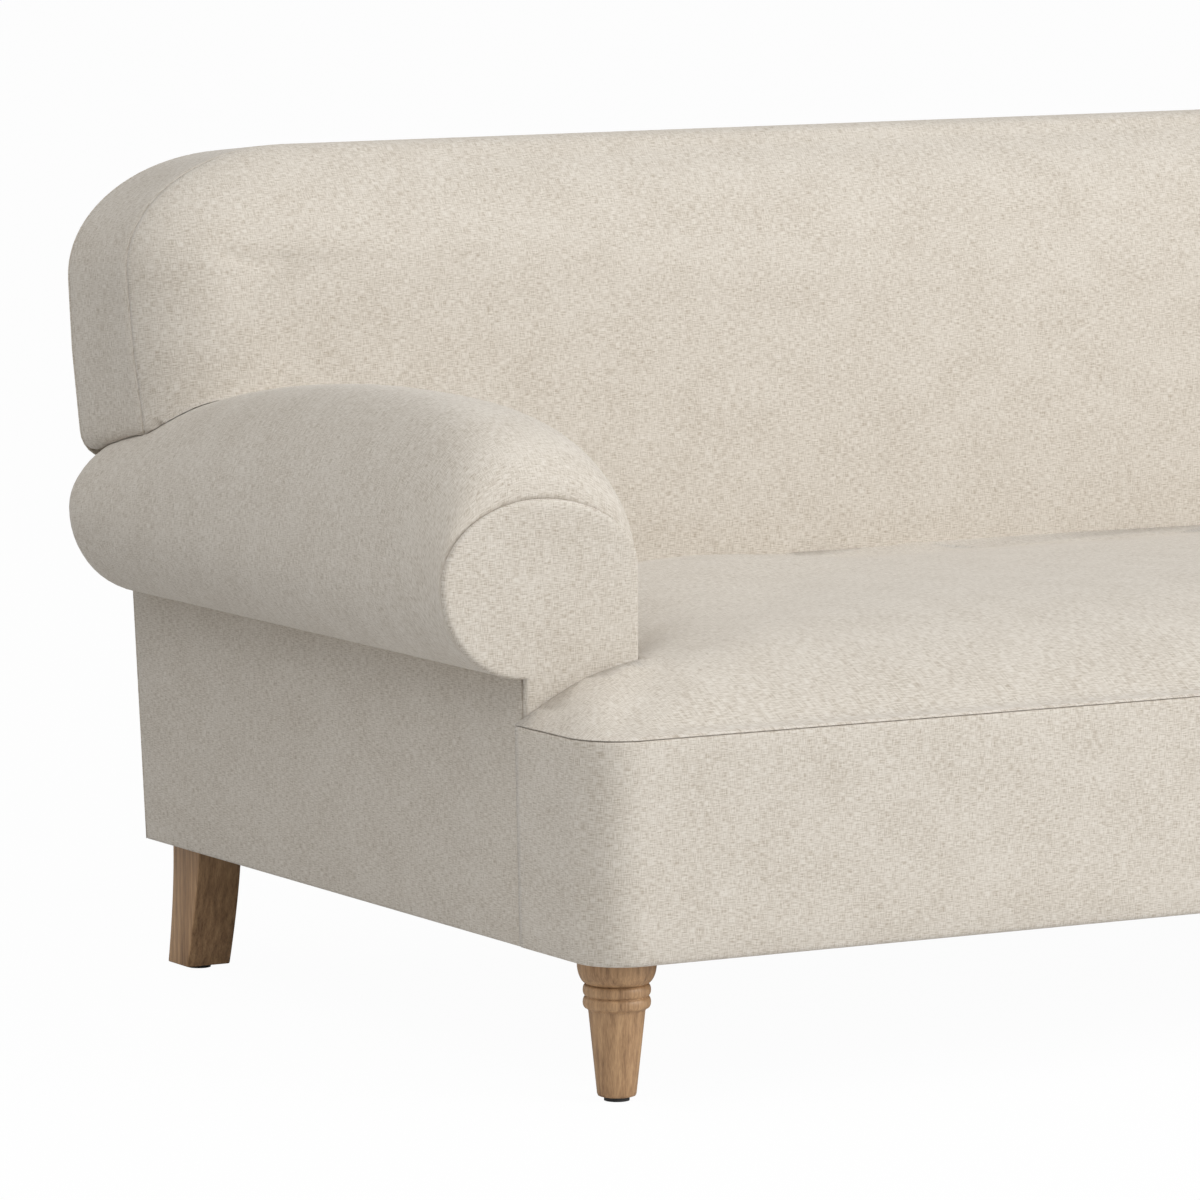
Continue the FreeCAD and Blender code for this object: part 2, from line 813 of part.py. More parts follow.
def outside_back_panel():
    """Flat rear panel: as wide as the body below, with the outline of the back above."""
    face = body_depth - skin
    outline = back_outline(0, face, up(back_bottom))
    upper = prism(outline, Vector(0, skin, 0))
    lower = box(-half, half, face, body_depth, leg_height, up(back_shelf))
    return leaning(upper.fuse(lower).removeSplitter())


# Writing the pieces

def save(name, shapes):
    """Moves a piece, or a group of like pieces, to the sofa's own origin and writes it."""
    middle = (body_depth + back_height * math.sin(math.radians(back_rake))) / 2
    solids = [solid for shape in shapes for solid in shape.Solids]
    group = solids[0] if len(solids) == 1 else Part.makeCompound(solids)
    group.translate(Vector(0, -middle, 0))
    print(name, len(solids), group.isValid(), round(group.Volume))
    group.exportStep("parts/" + name + ".step")


def save_pair(name, make):
    """Writes a left-hand piece and its right-hand copy as two pieces."""
    piece = make()
    save(name + "_left", [piece])
    save(name + "_right", [mirrored(piece)])


def both(shapes):
    """Left-hand pieces together with their right-hand copies."""
    return shapes + [mirrored(shape) for shape in shapes]


front_place = (leg_inset_side, leg_inset_front)
rear_place = (sabre_middle, sabre_bolt)
rear_foot_place = (sabre_middle, sabre_front + sabre_sweep + sabre_foot_depth / 2)
front_block_start = front_rail_rear
rear_block_start = rear_rail_rear - block_size

os.makedirs("parts", exist_ok=True)
save("front_rail", [front_rail()])
save("rear_rail", [rear_rail()])
save_pair("side_rail", side_rail)
save("seat_cross_braces", [cross_brace(-upright_place), cross_brace(upright_place)])
save("corner_blocks", both([
    corner_block(front_block_start, *front_place), corner_block(rear_block_start, *rear_place)]))
save_pair("wing_block", wing_block)
save("front_legs", both([turned_leg()]))
save("rear_legs", both([sabre_leg()]))
save("leg_plates", both([leg_plate(*front_place), leg_plate(*rear_place)]))
save("hanger_bolts", both([hanger_bolt(*front_place), hanger_bolt(*rear_place)]))
save("leg_glides", both([glide(*front_place), glide(*rear_foot_place)]))
save("dust_cover", [dust_cover()])
save("seat_springs", at_springs(sinuous_spring()))
save("spring_clips", spring_clips())
save("spring_tie_wires", tie_wires())
save("seat_edge_roll", [edge_roll()])
save("seat_deck", [seat_deck()])
save("seat_foam", [seat_foam()])
save("seat_cover", [seat_cover()])
save("front_border_padding", [front_border_padding()])
save("front_border_cover", [front_border_cover()])
save_pair("arm_front_board", arm_front_board)
save_pair("arm_rear_board", arm_rear_end_board)
save_pair("arm_top_rail", arm_top_rail)
save("arm_tack_slats", both(arm_tack_slats()))
save_pair("arm_foam", arm_foam)
save_pair("arm_cover", arm_cover)
save_pair("arm_facing", arm_facing)
save_pair("outside_arm_panel", outside_arm_panel)
save_pair("back_post", back_post)
save("back_top_rail", [back_top_rail()])
save_pair("back_end_board", back_end_board)
save("back_end_rails", both([back_end_rail()]))
save("back_low_rail", [back_low_rail()])
save("back_uprights", [back_upright(-upright_place), back_upright(upright_place)])
save("back_webbing", back_webbing())
save("back_foam", [back_foam()])
save("back_cover", [back_cover()])
save("outside_back_panel", [outside_back_panel()])
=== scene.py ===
"""Looks of an English roll arm sofa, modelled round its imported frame."""
import json
import logging
import math
from dataclasses import dataclass
from enum import Enum

import bmesh
import bpy
from mathutils import Matrix, Vector


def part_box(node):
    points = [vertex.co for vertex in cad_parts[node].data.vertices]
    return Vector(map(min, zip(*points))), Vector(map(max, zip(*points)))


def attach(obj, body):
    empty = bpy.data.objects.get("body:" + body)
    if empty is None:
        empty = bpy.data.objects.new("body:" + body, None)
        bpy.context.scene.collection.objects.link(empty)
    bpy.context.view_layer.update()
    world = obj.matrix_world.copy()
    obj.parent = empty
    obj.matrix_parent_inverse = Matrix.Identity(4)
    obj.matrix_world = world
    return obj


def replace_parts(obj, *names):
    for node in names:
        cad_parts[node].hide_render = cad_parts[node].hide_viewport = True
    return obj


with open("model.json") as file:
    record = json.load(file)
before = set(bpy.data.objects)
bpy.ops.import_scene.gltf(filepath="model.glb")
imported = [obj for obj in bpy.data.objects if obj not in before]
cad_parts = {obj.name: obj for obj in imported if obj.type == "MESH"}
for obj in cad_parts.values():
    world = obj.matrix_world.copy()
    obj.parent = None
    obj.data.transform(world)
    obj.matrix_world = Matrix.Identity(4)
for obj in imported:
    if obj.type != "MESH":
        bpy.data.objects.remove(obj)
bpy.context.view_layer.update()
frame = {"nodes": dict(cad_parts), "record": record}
log = logging.getLogger("sofa")

MERGE_DISTANCE = 0.00002
TOUCH = 0.00001
FLAT = 0.0001
SEAM_GAP = 0.0006
CLOTH_STIFFNESS = 25
CLOTH_BENDING = 4
CLOTH_FRAMES = 20

Number = "Value | float"
Points = list[Vector]


# Shader arithmetic

class Value:
    """A number socket of a material, used in plain arithmetic."""

    def __init__(self, tree: bpy.types.NodeTree, socket: bpy.types.NodeSocket) -> None:
        """Wraps one output socket of a node tree.

        Args:
            tree: Node tree of the material.
            socket: The socket.
        """
        self.tree = tree
        self.socket = socket

    def _join(self, operation: str, first: Number, second: Number) -> "Value":
        """Adds a Math node for two numbers.

        Args:
            operation: Name of the Math node's operation.
            first: Left-hand number or socket.
            second: Right-hand number or socket.

        Returns:
            The node's result.
        """
        node = self.tree.nodes.new("ShaderNodeMath")
        node.operation = operation
        for slot, given in zip(node.inputs, (first, second)):
            if isinstance(given, Value):
                self.tree.links.new(given.socket, slot)
            else:
                slot.default_value = given
        return Value(self.tree, node.outputs[0])

    def __add__(self, other: Number) -> "Value":
        """Sum of two numbers."""
        return self._join("ADD", self, other)

    def __radd__(self, other: float) -> "Value":
        """Sum with a plain number on the left."""
        return self._join("ADD", other, self)

    def __sub__(self, other: Number) -> "Value":
        """Difference of two numbers."""
        return self._join("SUBTRACT", self, other)

    def __rsub__(self, other: float) -> "Value":
        """Difference with a plain number on the left."""
        return self._join("SUBTRACT", other, self)

    def __mul__(self, other: Number) -> "Value":
        """Product of two numbers."""
        return self._join("MULTIPLY", self, other)

    def __rmul__(self, other: float) -> "Value":
        """Product with a plain number on the left."""
        return self._join("MULTIPLY", other, self)


class Recipe:
    """A material under construction, with one method that adds nodes."""

    def __init__(self, name: str) -> None:
        """Starts a material that holds a Principled shader."""
        self.material = bpy.data.materials.new(name)
        self.material.use_nodes = True
        self.tree = self.material.node_tree
        self.shader = self.tree.nodes["Principled BSDF"]

    def node(self, kind: str, settings: dict, inputs: dict) -> bpy.types.Node:
        """Adds a node of any type.

        Args:
            kind: Blender's name for the node type.
            settings: Properties set first; "stops" holds a ramp's positions and colours.
            inputs: Values or links for its sockets, by name or number.

        Returns:
            The new node.
        """
        node = self.tree.nodes.new(kind)
        for name, setting in settings.items():
            if name == "stops":
                elements = node.color_ramp.elements
                while len(elements) < len(setting):
                    elements.new(0.5)
                for element, (place, colour) in zip(elements, setting):
                    element.position = place
                    element.color = (*colour, 1)
            else:
                setattr(node, name, setting)
        for name, given in inputs.items():
            self.feed(node.inputs[name], given)
        return node

    def feed(self, slot: bpy.types.NodeSocket, given: object) -> None:
        """Links a socket to another one, or sets its plain value.

        Args:
            slot: Socket that is fed.
            given: Number, colour, value or socket.
        """
        if isinstance(given, Value):
            self.tree.links.new(given.socket, slot)
        elif isinstance(given, bpy.types.NodeSocket):
            self.tree.links.new(given, slot)
        else:
            slot.default_value = given

    def noise(self, place: bpy.types.NodeSocket, spread: tuple, detail: float) -> Value:
        """Noise whose spots are as long as asked for.

        Args:
            place: Coordinates in metres.
            spread: Length of a spot along each axis, in metres.
            detail: Number of finer layers on top.

        Returns:
            The noise, from 0 to 1.
        """
        scale = Vector([1 / length for length in spread]).to_3d()
        mapped = self.node("ShaderNodeMapping", {"vector_type": "POINT"}, {"Vector": place, "Scale": scale})
        kind = "2D" if len(spread) == 2 else "3D"
        made = self.node("ShaderNodeTexNoise", {"noise_dimensions": kind}, {
            "Vector": mapped.outputs[0], "Scale": 1.0, "Detail": detail, "Roughness": 0.6})
        return Value(self.tree, made.outputs["Fac"])

    def ramp(self, amount: Value, stops: list) -> bpy.types.NodeSocket:
        """Turns a number into a colour by a ramp of stops.

        Args:
            amount: The number, from 0 to 1.
            stops: Pairs of position and colour.

        Returns:
            The colour.
        """
        made = self.node("ShaderNodeValToRGB", {"stops": stops}, {0: amount})
        return made.outputs["Color"]

    def raised(self, height: Value, depth: float, strength: float) -> bpy.types.NodeSocket:
        """Normal of a surface whose relief is the given height times the depth in metres.

        Args:
            height: Height, from 0 to 1.
            depth: Depth of the relief, in metres.
            strength: Share of it that shows.

        Returns:
            The normal.
        """
        made = self.node("ShaderNodeBump", {}, {
            "Height": height, "Distance": depth, "Strength": strength})
        return made.outputs["Normal"]

    def dress(self, **inputs: object) -> bpy.types.Material:
        """Feeds the Principled shader's sockets, with spaces in their names written as underscores.

        Args:
            inputs: Values or links by socket.

        Returns:
            The material.
        """
        for name, given in inputs.items():
            self.feed(self.shader.inputs[name.replace("_", " ")], given)
        return self.material


# Finishes

@dataclass(frozen=True)
class Linen:
    """Heathered upholstery cloth: slubby yarns of two tones in both directions."""
    name: str = "heathered_linen"
    slot: str = "cover_fabric"
    dark: tuple = (0.425, 0.366, 0.296)
    middle: tuple = (0.570, 0.513, 0.438)
    light: tuple = (0.665, 0.615, 0.545)
    yarn: float = 0.0007
    slub: float = 0.0085
    relief: float = 0.0002

    def make(self) -> bpy.types.Material:
        """Builds the cloth from crossing streaks of noise on the piece's own weave coordinates.

        Returns:
            The material.
        """
        recipe = Recipe(self.name)
        place = recipe.node("ShaderNodeAttribute", {"attribute_name": "weave"}, {}).outputs["Vector"]
        weft = recipe.noise(place, (self.slub, self.yarn), 1)
        warp = recipe.noise(place, (self.yarn, self.slub), 1)
        cloud = recipe.noise(place, (0.060, 0.045), 1)
        tone = weft * 0.52 + warp * 0.40 + cloud * 0.08
        colour = recipe.ramp(tone, [(0.36, self.dark), (0.475, self.middle), (0.60, self.light)])
        height = weft + warp
        return recipe.dress(
            Base_Color=colour, Roughness=0.93 - cloud * 0.06, Normal=recipe.raised(height, self.relief, 0.35),
            Specular_IOR_Level=0.25, Sheen_Weight=0.18, Sheen_Roughness=0.5)


@dataclass(frozen=True)
class Oak:
    """Oiled oak with long grain and open pores."""
    name: str = "oiled_oak"
    slot: str = "leg_wood"
    dark: tuple = (0.195, 0.105, 0.050)
    middle: tuple = (0.377, 0.220, 0.109)
    light: tuple = (0.520, 0.321, 0.166)

    def make(self) -> bpy.types.Material:
        """Builds the grain from noise drawn out along the height of the leg.

        Returns:
            The material.
        """
        recipe = Recipe(self.name)
        place = recipe.node("ShaderNodeTexCoord", {}, {}).outputs["Object"]
        grain = recipe.noise(place, (0.0045, 0.0045, 0.110), 4)
        pores = recipe.noise(place, (0.0009, 0.0009, 0.014), 2)
        figure = recipe.noise(place, (0.030, 0.030, 0.180), 2)
        tone = grain * 0.50 + pores * 0.27 + figure * 0.23
        colour = recipe.ramp(tone, [(0.36, self.dark), (0.50, self.middle), (0.62, self.light)])
        return recipe.dress(
            Base_Color=colour, Roughness=0.36 + pores * 0.22,
            Normal=recipe.raised(grain * 0.6 + pores, 0.0004, 0.35), Specular_IOR_Level=0.45)


@dataclass(frozen=True)
class Plain:
    """A hidden working material: bare wood, foam, jute, webbing, steel or nylon."""
    name: str
    slot: str
    dark: tuple
    light: tuple
    spread: tuple
    roughness: float
    metallic: float = 0.0
    relief: float = 0.0004

    def make(self) -> bpy.types.Material:
        """Builds the finish from noise stretched along the way the stuff runs.

        Returns:
            The material.
        """
        recipe = Recipe(self.name)
        place = recipe.node("ShaderNodeTexCoord", {}, {}).outputs["Object"]
        grain = recipe.noise(place, self.spread, 3)
        fine = recipe.noise(place, tuple(length / 4 for length in self.spread), 2)
        tone = grain * 0.65 + fine * 0.35
        colour = recipe.ramp(tone, [(0.38, self.dark), (0.62, self.light)])
        return recipe.dress(
            Base_Color=colour, Roughness=self.roughness + fine * 0.08, Metallic=self.metallic,
            Normal=recipe.raised(tone, self.relief, 0.4))


class Stuff(Enum):
    """The hidden working materials of the frame."""
    FRAME_WOOD = Plain("bare_frame_wood", "frame_wood", (0.40, 0.27, 0.15), (0.62, 0.46, 0.29),
                       (0.09, 0.006, 0.02), 0.68)
    FOAM = Plain("foam_with_wrap", "foam", (0.66, 0.60, 0.44), (0.80, 0.76, 0.62),
                 (0.004, 0.004, 0.004), 0.92)
    BURLAP = Plain("jute_burlap", "burlap", (0.25, 0.17, 0.09), (0.44, 0.33, 0.19),
                   (0.012, 0.002, 0.004), 0.95)
    DUST_CLOTH = Plain("black_dust_cloth", "dust_cloth", (0.006, 0.006, 0.006), (0.016, 0.016, 0.016),
                       (0.003, 0.003, 0.003), 0.85)
    WEBBING = Plain("elastic_webbing", "webbing", (0.20, 0.14, 0.08), (0.36, 0.28, 0.18),
                    (0.002, 0.002, 0.03), 0.9)
    SPRING_STEEL = Plain("oiled_spring_steel", "spring_steel", (0.10, 0.10, 0.105), (0.22, 0.22, 0.23),
                         (0.006, 0.006, 0.006), 0.36, 1.0)
    ZINC = Plain("zinc_plate", "zinc_steel", (0.42, 0.43, 0.45), (0.60, 0.61, 0.63),
                 (0.008, 0.008, 0.008), 0.34, 1.0)
    NYLON = Plain("black_nylon", "glide_plastic", (0.010, 0.010, 0.010), (0.020, 0.020, 0.020),
                  (0.004, 0.004, 0.004), 0.5)


# Drawing and growing skins

def run(start: Vector, finish: Vector, steps: int) -> Points:
    """Evenly spaced points on a straight line, without its first one."""
    return [start.lerp(finish, step / steps) for step in range(1, steps + 1)]


def curve(centre: Vector, toward_start: Vector, toward_end: Vector, steps: int) -> Points:
    """Points of a quarter ellipse between two reaches from its centre, without its first one.

    Args:
        centre: Centre of the ellipse.
        toward_start: From the centre to where the quarter starts.
        toward_end: From the centre to where it ends.
        steps: Number of stretches.

    Returns:
        The points, the last one on the end of the quarter.
    """
    turns = [math.pi / 2 * step / steps for step in range(1, steps + 1)]
    return [centre + toward_start * math.cos(turn) + toward_end * math.sin(turn) for turn in turns]


def smooth(value: float, low: float, high: float) -> float:
    """Rises smoothly from 0 at the low value to 1 at the high one.

    Args:
        value: The number.
        low: Where the rise starts.
        high: Where it ends.

    Returns:
        The share, from 0 to 1.
    """
    share = min(max((value - low) / (high - low), 0.0), 1.0)
    return share * share * (3 - 2 * share)


def through(places: list[tuple[float, float]], at: float) -> float:
    """Height at a place of a smooth curve through given places and heights.

    Args:
        places: Pairs of place and height, in order.
        at: The place asked for.

    Returns:
        The height there.
    """
    last = len(places) - 1
    index = max(i for i in range(last) if i == 0 or places[i][0] <= at)
    (x0, z0), (x1, z1) = places[index], places[index + 1]
    before = places[max(index - 1, 0)]
    after = places[min(index + 2, last)]
    slope0 = (z1 - before[1]) / (x1 - before[0])
    slope1 = (after[1] - z0) / (after[0] - x0)
    width = x1 - x0
    t = (at - x0) / width
    return ((2 * t**3 - 3 * t**2 + 1) * z0 + (t**3 - 2 * t**2 + t) * width * slope0
            + (3 * t**2 - 2 * t**3) * z1 + (t**3 - t**2) * width * slope1)


def lengths(points: Points) -> list[float]:
    """Distance along a run of points from its first one.

    Args:
        points: The run.

    Returns:
        One distance for each point.
    """
    total = [0.0]
    for a, b in zip(points, points[1:]):
        total.append(total[-1] + (b - a).length)
    return total


class Skin:
    """A skin grown by extruding a rim of edges from one outline to the next."""

    def __init__(self, outline: Points, weave: Points, closed: bool = True) -> None:
        """Starts with one outline.

        Args:
            outline: Points of the first outline.
            weave: Cloth coordinates of those points, in metres.
            closed: Whether the outline is a loop.
        """
        self.mesh = bmesh.new()
        self.order = self.mesh.verts.layers.int.new("order")
        self.weave = self.mesh.verts.layers.float_vector.new("weave")
        corners = [self.mesh.verts.new(point) for point in outline]
        for number, corner in enumerate(corners):
            corner[self.order] = number
            corner[self.weave] = weave[number]
        after = corners[1:] + corners[:1] if closed else corners[1:]
        self.rim = [self.mesh.edges.new(pair) for pair in zip(corners, after)]

    def grow(self, outline: Points, weave: Points) -> None:
        """Extrudes the rim and moves it to the next outline.

        Args:
            outline: Points of the next outline.
            weave: Their cloth coordinates.
        """
        made = bmesh.ops.extrude_edge_only(self.mesh, edges=self.rim)["geom"]
        self.rim = [part for part in made if isinstance(part, bmesh.types.BMEdge)]
        for corner in {corner for edge in self.rim for corner in edge.verts}:
            number = corner[self.order]
            corner.co = outline[number]
            corner[self.weave] = weave[number]

    def through(self, outlines: list[Points], weaves: list[Points]) -> "Skin":
        """Grows the skin through a list of outlines.

        Args:
            outlines: The outlines, in order.
            weaves: Their cloth coordinates.

        Returns:
            The skin.
        """
        for outline, weave in zip(outlines, weaves):
            self.grow(outline, weave)
        return self

    def close(self) -> "Skin":
        """Fills every open rim, merges doubles and turns all faces outwards.

        Returns:
            The skin.
        """
        bmesh.ops.remove_doubles(self.mesh, verts=self.mesh.verts, dist=MERGE_DISTANCE)
        open_rim = [edge for edge in self.mesh.edges if edge.is_boundary]
        bmesh.ops.holes_fill(self.mesh, edges=open_rim, sides=0)
        bmesh.ops.recalc_face_normals(self.mesh, faces=self.mesh.faces)
        return self

    def keep_side(self, place: Vector, out: Vector) -> "Skin":
        """Cuts away all that lies beyond a plane.

        Args:
            place: A point of the plane.
            out: The side that goes.

        Returns:
            The skin.
        """
        every = self.mesh.verts[:] + self.mesh.edges[:] + self.mesh.faces[:]
        bmesh.ops.bisect_plane(
            self.mesh, geom=every, dist=TOUCH, plane_co=place, plane_no=out, clear_outer=True)
        return self

    def notch(self, planes: list[tuple[Vector, Vector]]) -> "Skin":
        """Cuts away the corner that lies beyond all of some planes at once.

        Args:
            planes: A point and an outward direction of each.

        Returns:
            The skin.
        """
        for place, out in planes:
            every = self.mesh.verts[:] + self.mesh.edges[:] + self.mesh.faces[:]
            bmesh.ops.bisect_plane(self.mesh, geom=every, dist=TOUCH, plane_co=place, plane_no=out)
        beyond = [face for face in self.mesh.faces if all(
            (face.calc_center_median() - place).dot(out) > 0 for place, out in planes)]
        bmesh.ops.delete(self.mesh, geom=beyond, context="FACES")
        return self

    def mirrored(self) -> "Skin":
        """Turns a left-hand skin into the right-hand one.

        Returns:
            The skin.
        """
        bmesh.ops.scale(self.mesh, vec=Vector((-1, 1, 1)), verts=self.mesh.verts)
        bmesh.ops.recalc_face_normals(self.mesh, faces=self.mesh.faces)
        return self


def mesh_piece(name: str, mesh: bmesh.types.BMesh, stuff: bpy.types.Material) -> bpy.types.Object:
    """Turns a finished mesh into a smooth, dressed piece of the scene.

    Args:
        name: Name of the piece.
        mesh: The mesh, which is used up.
        stuff: Its material.

    Returns:
        The piece, riding on the sofa.
    """
    data = bpy.data.meshes.new(name)
    mesh.to_mesh(data)
    mesh.free()
    data.shade_smooth()
    piece = bpy.data.objects.new(name, data)
    bpy.context.scene.collection.objects.link(piece)
    data.materials.append(stuff)
    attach(piece, "root")
    log.info("%s: %d faces", name, len(data.polygons))
    return piece


def fill_out(piece: bpy.types.Object, held: list[int], pressure: float, most: float) -> None:
    """Lets the stuffing press a cover outwards between its seams, by cloth simulation.

    Args:
        piece: The padded piece.
        held: Numbers of the points that seams and neighbours hold still.
        pressure: Pressure of the stuffing.
        most: Furthest that a point may move, in metres.
    """
    rest = [point.co.copy() for point in piece.data.vertices]
    group = piece.vertex_groups.new(name="held")
    group.add(held, 1.0, "REPLACE")
    cloth = piece.modifiers.new("Cloth", "CLOTH")
    cloth.settings.vertex_group_mass = group.name
    cloth.settings.use_pressure = True
    cloth.settings.uniform_pressure_force = pressure
    cloth.settings.effector_weights.gravity = 0
    cloth.settings.tension_stiffness = CLOTH_STIFFNESS
    cloth.settings.compression_stiffness = CLOTH_STIFFNESS
    cloth.settings.bending_stiffness = CLOTH_BENDING
    cloth.collision_settings.use_collision = False
    scene = bpy.context.scene
    for number in range(1, CLOTH_FRAMES + 1):
        scene.frame_set(number)
    swollen = piece.evaluated_get(bpy.context.evaluated_depsgraph_get()).data
    moves = [swollen.vertices[i].co - point for i, point in enumerate(rest)]
    piece.modifiers.remove(cloth)
    piece.vertex_groups.remove(group)
    scene.frame_set(1)
    for vertex, point, move in zip(piece.data.vertices, rest, moves):
        if move.length > most:
            move = move.normalized() * most
        vertex.co = point + move
    piece.data.update()


# Where everything is

@dataclass(frozen=True)
class Body:
    """Places on the sofa, taken from the frame: outside faces, front and underside."""
    half: float
    front: float
    underside: float
    seam: float
    depth: float = 0.939
    rake: float = math.radians(6)

    def at(self, s: float, depth: float, height: float) -> Vector:
        """Point on the left from its distance in from the side, back from the front and up."""
        return Vector((s - self.half, self.front + depth, self.underside + height))

    def lean(self, mesh: bmesh.types.BMesh) -> None:
        """Leans a mesh about the rear edge of the underside."""
        foot = self.at(0, self.depth, 0)
        bmesh.ops.rotate(mesh, cent=foot, matrix=Matrix.Rotation(-self.rake, 3, "X"), verts=mesh.verts)


class Side(Enum):
    """The two ends of the sofa."""
    LEFT = "left"
    RIGHT = "right"


def read_body() -> Body:
    """Takes the body's outside faces from the frame.

    Returns:
        The places that all pieces are set out from.
    """
    panel_low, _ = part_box("outside_arm_panel_left")
    border_low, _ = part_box("front_border_cover")
    seat_low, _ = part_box("seat_cover")
    return Body(half=-panel_low.x, front=border_low.y, underside=panel_low.z, seam=seat_low.z - panel_low.z)


# Upholstery

@dataclass(frozen=True)
class Seat:
    """The crowned T-shaped seat and the border under its front seam. Sizes in metres."""
    body: Body
    proud: float = 0.012
    taper: float = 0.005
    corner: float = 0.050
    crown: float = 0.084
    swell: float = 0.300
    depth: float = 0.742
    arm_front: float = 0.150
    arm_width: float = 0.123
    clear: float = SEAM_GAP
    sag_back: float = 0.018
    sag_side: float = 0.026
    hollow: float = 0.030
    sag_reach: float = 0.22
    side_reach: float = 0.42
    hollow_start: float = 0.08
    hollow_reach: float = 0.14
    roundness: float = 2.2
    margin: float = 0.004
    pressure: float = 2.5
    most: float = 0.008

    def plan(self, inset: float, rear: float, height: float, radius: float) -> Points:
        """Outline in plan with two rounded front corners, from the left rear round to the right rear.

        Args:
            inset: How far it is drawn in.
            rear: Depth at which it ends.
            height: Height above the underside.
            radius: Radius of the front corners.

        Returns:
            Points of the outline, in order.
        """
        body = self.body
        edge = inset - self.proud
        start = body.at(edge, rear, height)
        turn = body.at(edge + radius, inset + radius, height)
        points = [start] + run(start, body.at(edge, inset + radius, height), 12)
        points += curve(turn, Vector((-radius, 0, 0)), Vector((0, -radius, 0)), 10)
        points += run(points[-1], Vector((0, points[-1].y, points[-1].z)), 34)
        return points + [Vector((-point.x, point.y, point.z)) for point in reversed(points[:-1])]

    def rise(self, share: float) -> float:
        """Height of the swell, as a share of the crown, at a share of its width."""
        return 1 - (1 - share) ** self.roundness

    def seat_skin(self) -> Skin:
        """Grows the crowned seat from its seam to the middle, then cuts it to the arms and the back.

        Returns:
            The open skin.
        """
        body = self.body
        far = self.depth + 0.060
        shares = [0.004, 0.012, 0.025, 0.045, 0.07, 0.10, 0.14, 0.19, 0.25, 0.32, 0.40, 0.49,
                  0.59, 0.70, 0.82, 1.0]
        steps = [(0.010, 0.0002), (0.0014, 0.0002), (0.0004, 0.0007)]
        steps += [(share * self.swell, 0.0007 + self.rise(share) * (self.crown - 0.0007)) for share in shares]
        flat = (0.33, 0.36, 0.39, 0.42, 0.46, 0.50, 0.54, 0.58, 0.62, 0.66, 0.70)
        steps += [(inset, self.crown) for inset in flat]
        outlines = []
        for inset, height in steps:
            outlines.append(self.plan(inset, far, body.seam + height, min(self.corner + inset / 2, 0.2)))
        weaves = [[Vector((point.x, point.y - height, 0)) for point in outline]
                  for outline, (_, height) in zip(outlines, steps)]
        skin = Skin(outlines[0], weaves[0]).through(outlines[1:], weaves[1:])
        bmesh.ops.holes_fill(skin.mesh, edges=skin.rim, sides=0)
        skin.keep_side(body.at(0, self.depth - self.clear, 0), Vector((0, 1, 0)))
        front = (body.at(0, self.arm_front - self.clear, 0), Vector((0, 1, 0)))
        inner = body.at(self.arm_width + self.clear, 0, 0)
        skin.notch([front, (inner, Vector((-1, 0, 0)))])
        skin.notch([front, (Vector((-inner.x, 0, 0)), Vector((1, 0, 0)))])
        for point in skin.mesh.verts:
            self.settle(point)
        return skin

    def settle(self, point: bmesh.types.BMVert) -> None:
        """Lets the crown down towards the arms and the back, where the cover is tucked in.

        Args:
            point: Point that is moved.
        """
        depth = point.co.y - self.body.front
        side = self.body.half - self.arm_width - abs(point.co.x)
        behind = smooth(depth, self.arm_front, self.arm_front + self.sag_reach)
        drop = self.sag_back * smooth(depth, self.depth - self.sag_reach, self.depth)
        drop += self.sag_side * behind * (1 - smooth(side, 0, self.side_reach))
        inside = smooth(depth, self.arm_front, self.arm_front + self.hollow_start)
        drop += self.hollow * inside * (1 - smooth(side, 0, self.hollow_reach))
        point.co.z -= drop * smooth(point.co.z - self.body.underside - self.body.seam, 0, self.crown)

    def build_seat(self, cloth: bpy.types.Material) -> bpy.types.Object:
        """Makes the seat as a closed pad and lets its stuffing fill it out.

        Args:
            cloth: The cover cloth.

        Returns:
            The seat.
        """
        skin = self.seat_skin()
        walls = bmesh.ops.extrude_edge_only(
            skin.mesh, edges=[edge for edge in skin.mesh.edges if edge.is_boundary])["geom"]
        for point in walls:
            if isinstance(point, bmesh.types.BMVert):
                point.co.z = self.body.underside + self.body.seam + 0.0002
        skin.close()
        piece = mesh_piece("seat_cushion", skin.mesh, cloth)
        crown_line = self.body.underside + self.body.seam + self.margin
        back_line = self.body.front + self.depth - self.margin
        held = [v.index for v in piece.data.vertices if v.co.z < crown_line or v.co.y > back_line
                or self.beside_arm(v.co)]
        fill_out(piece, held, self.pressure, self.most)
        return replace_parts(piece, "seat_cover", "seat_foam")

    def beside_arm(self, place: Vector) -> bool:
        """Whether a point lies against an arm."""
        inner = self.body.half - self.arm_width - self.margin
        return abs(place.x) > inner and place.y > self.body.front + self.arm_front - self.margin

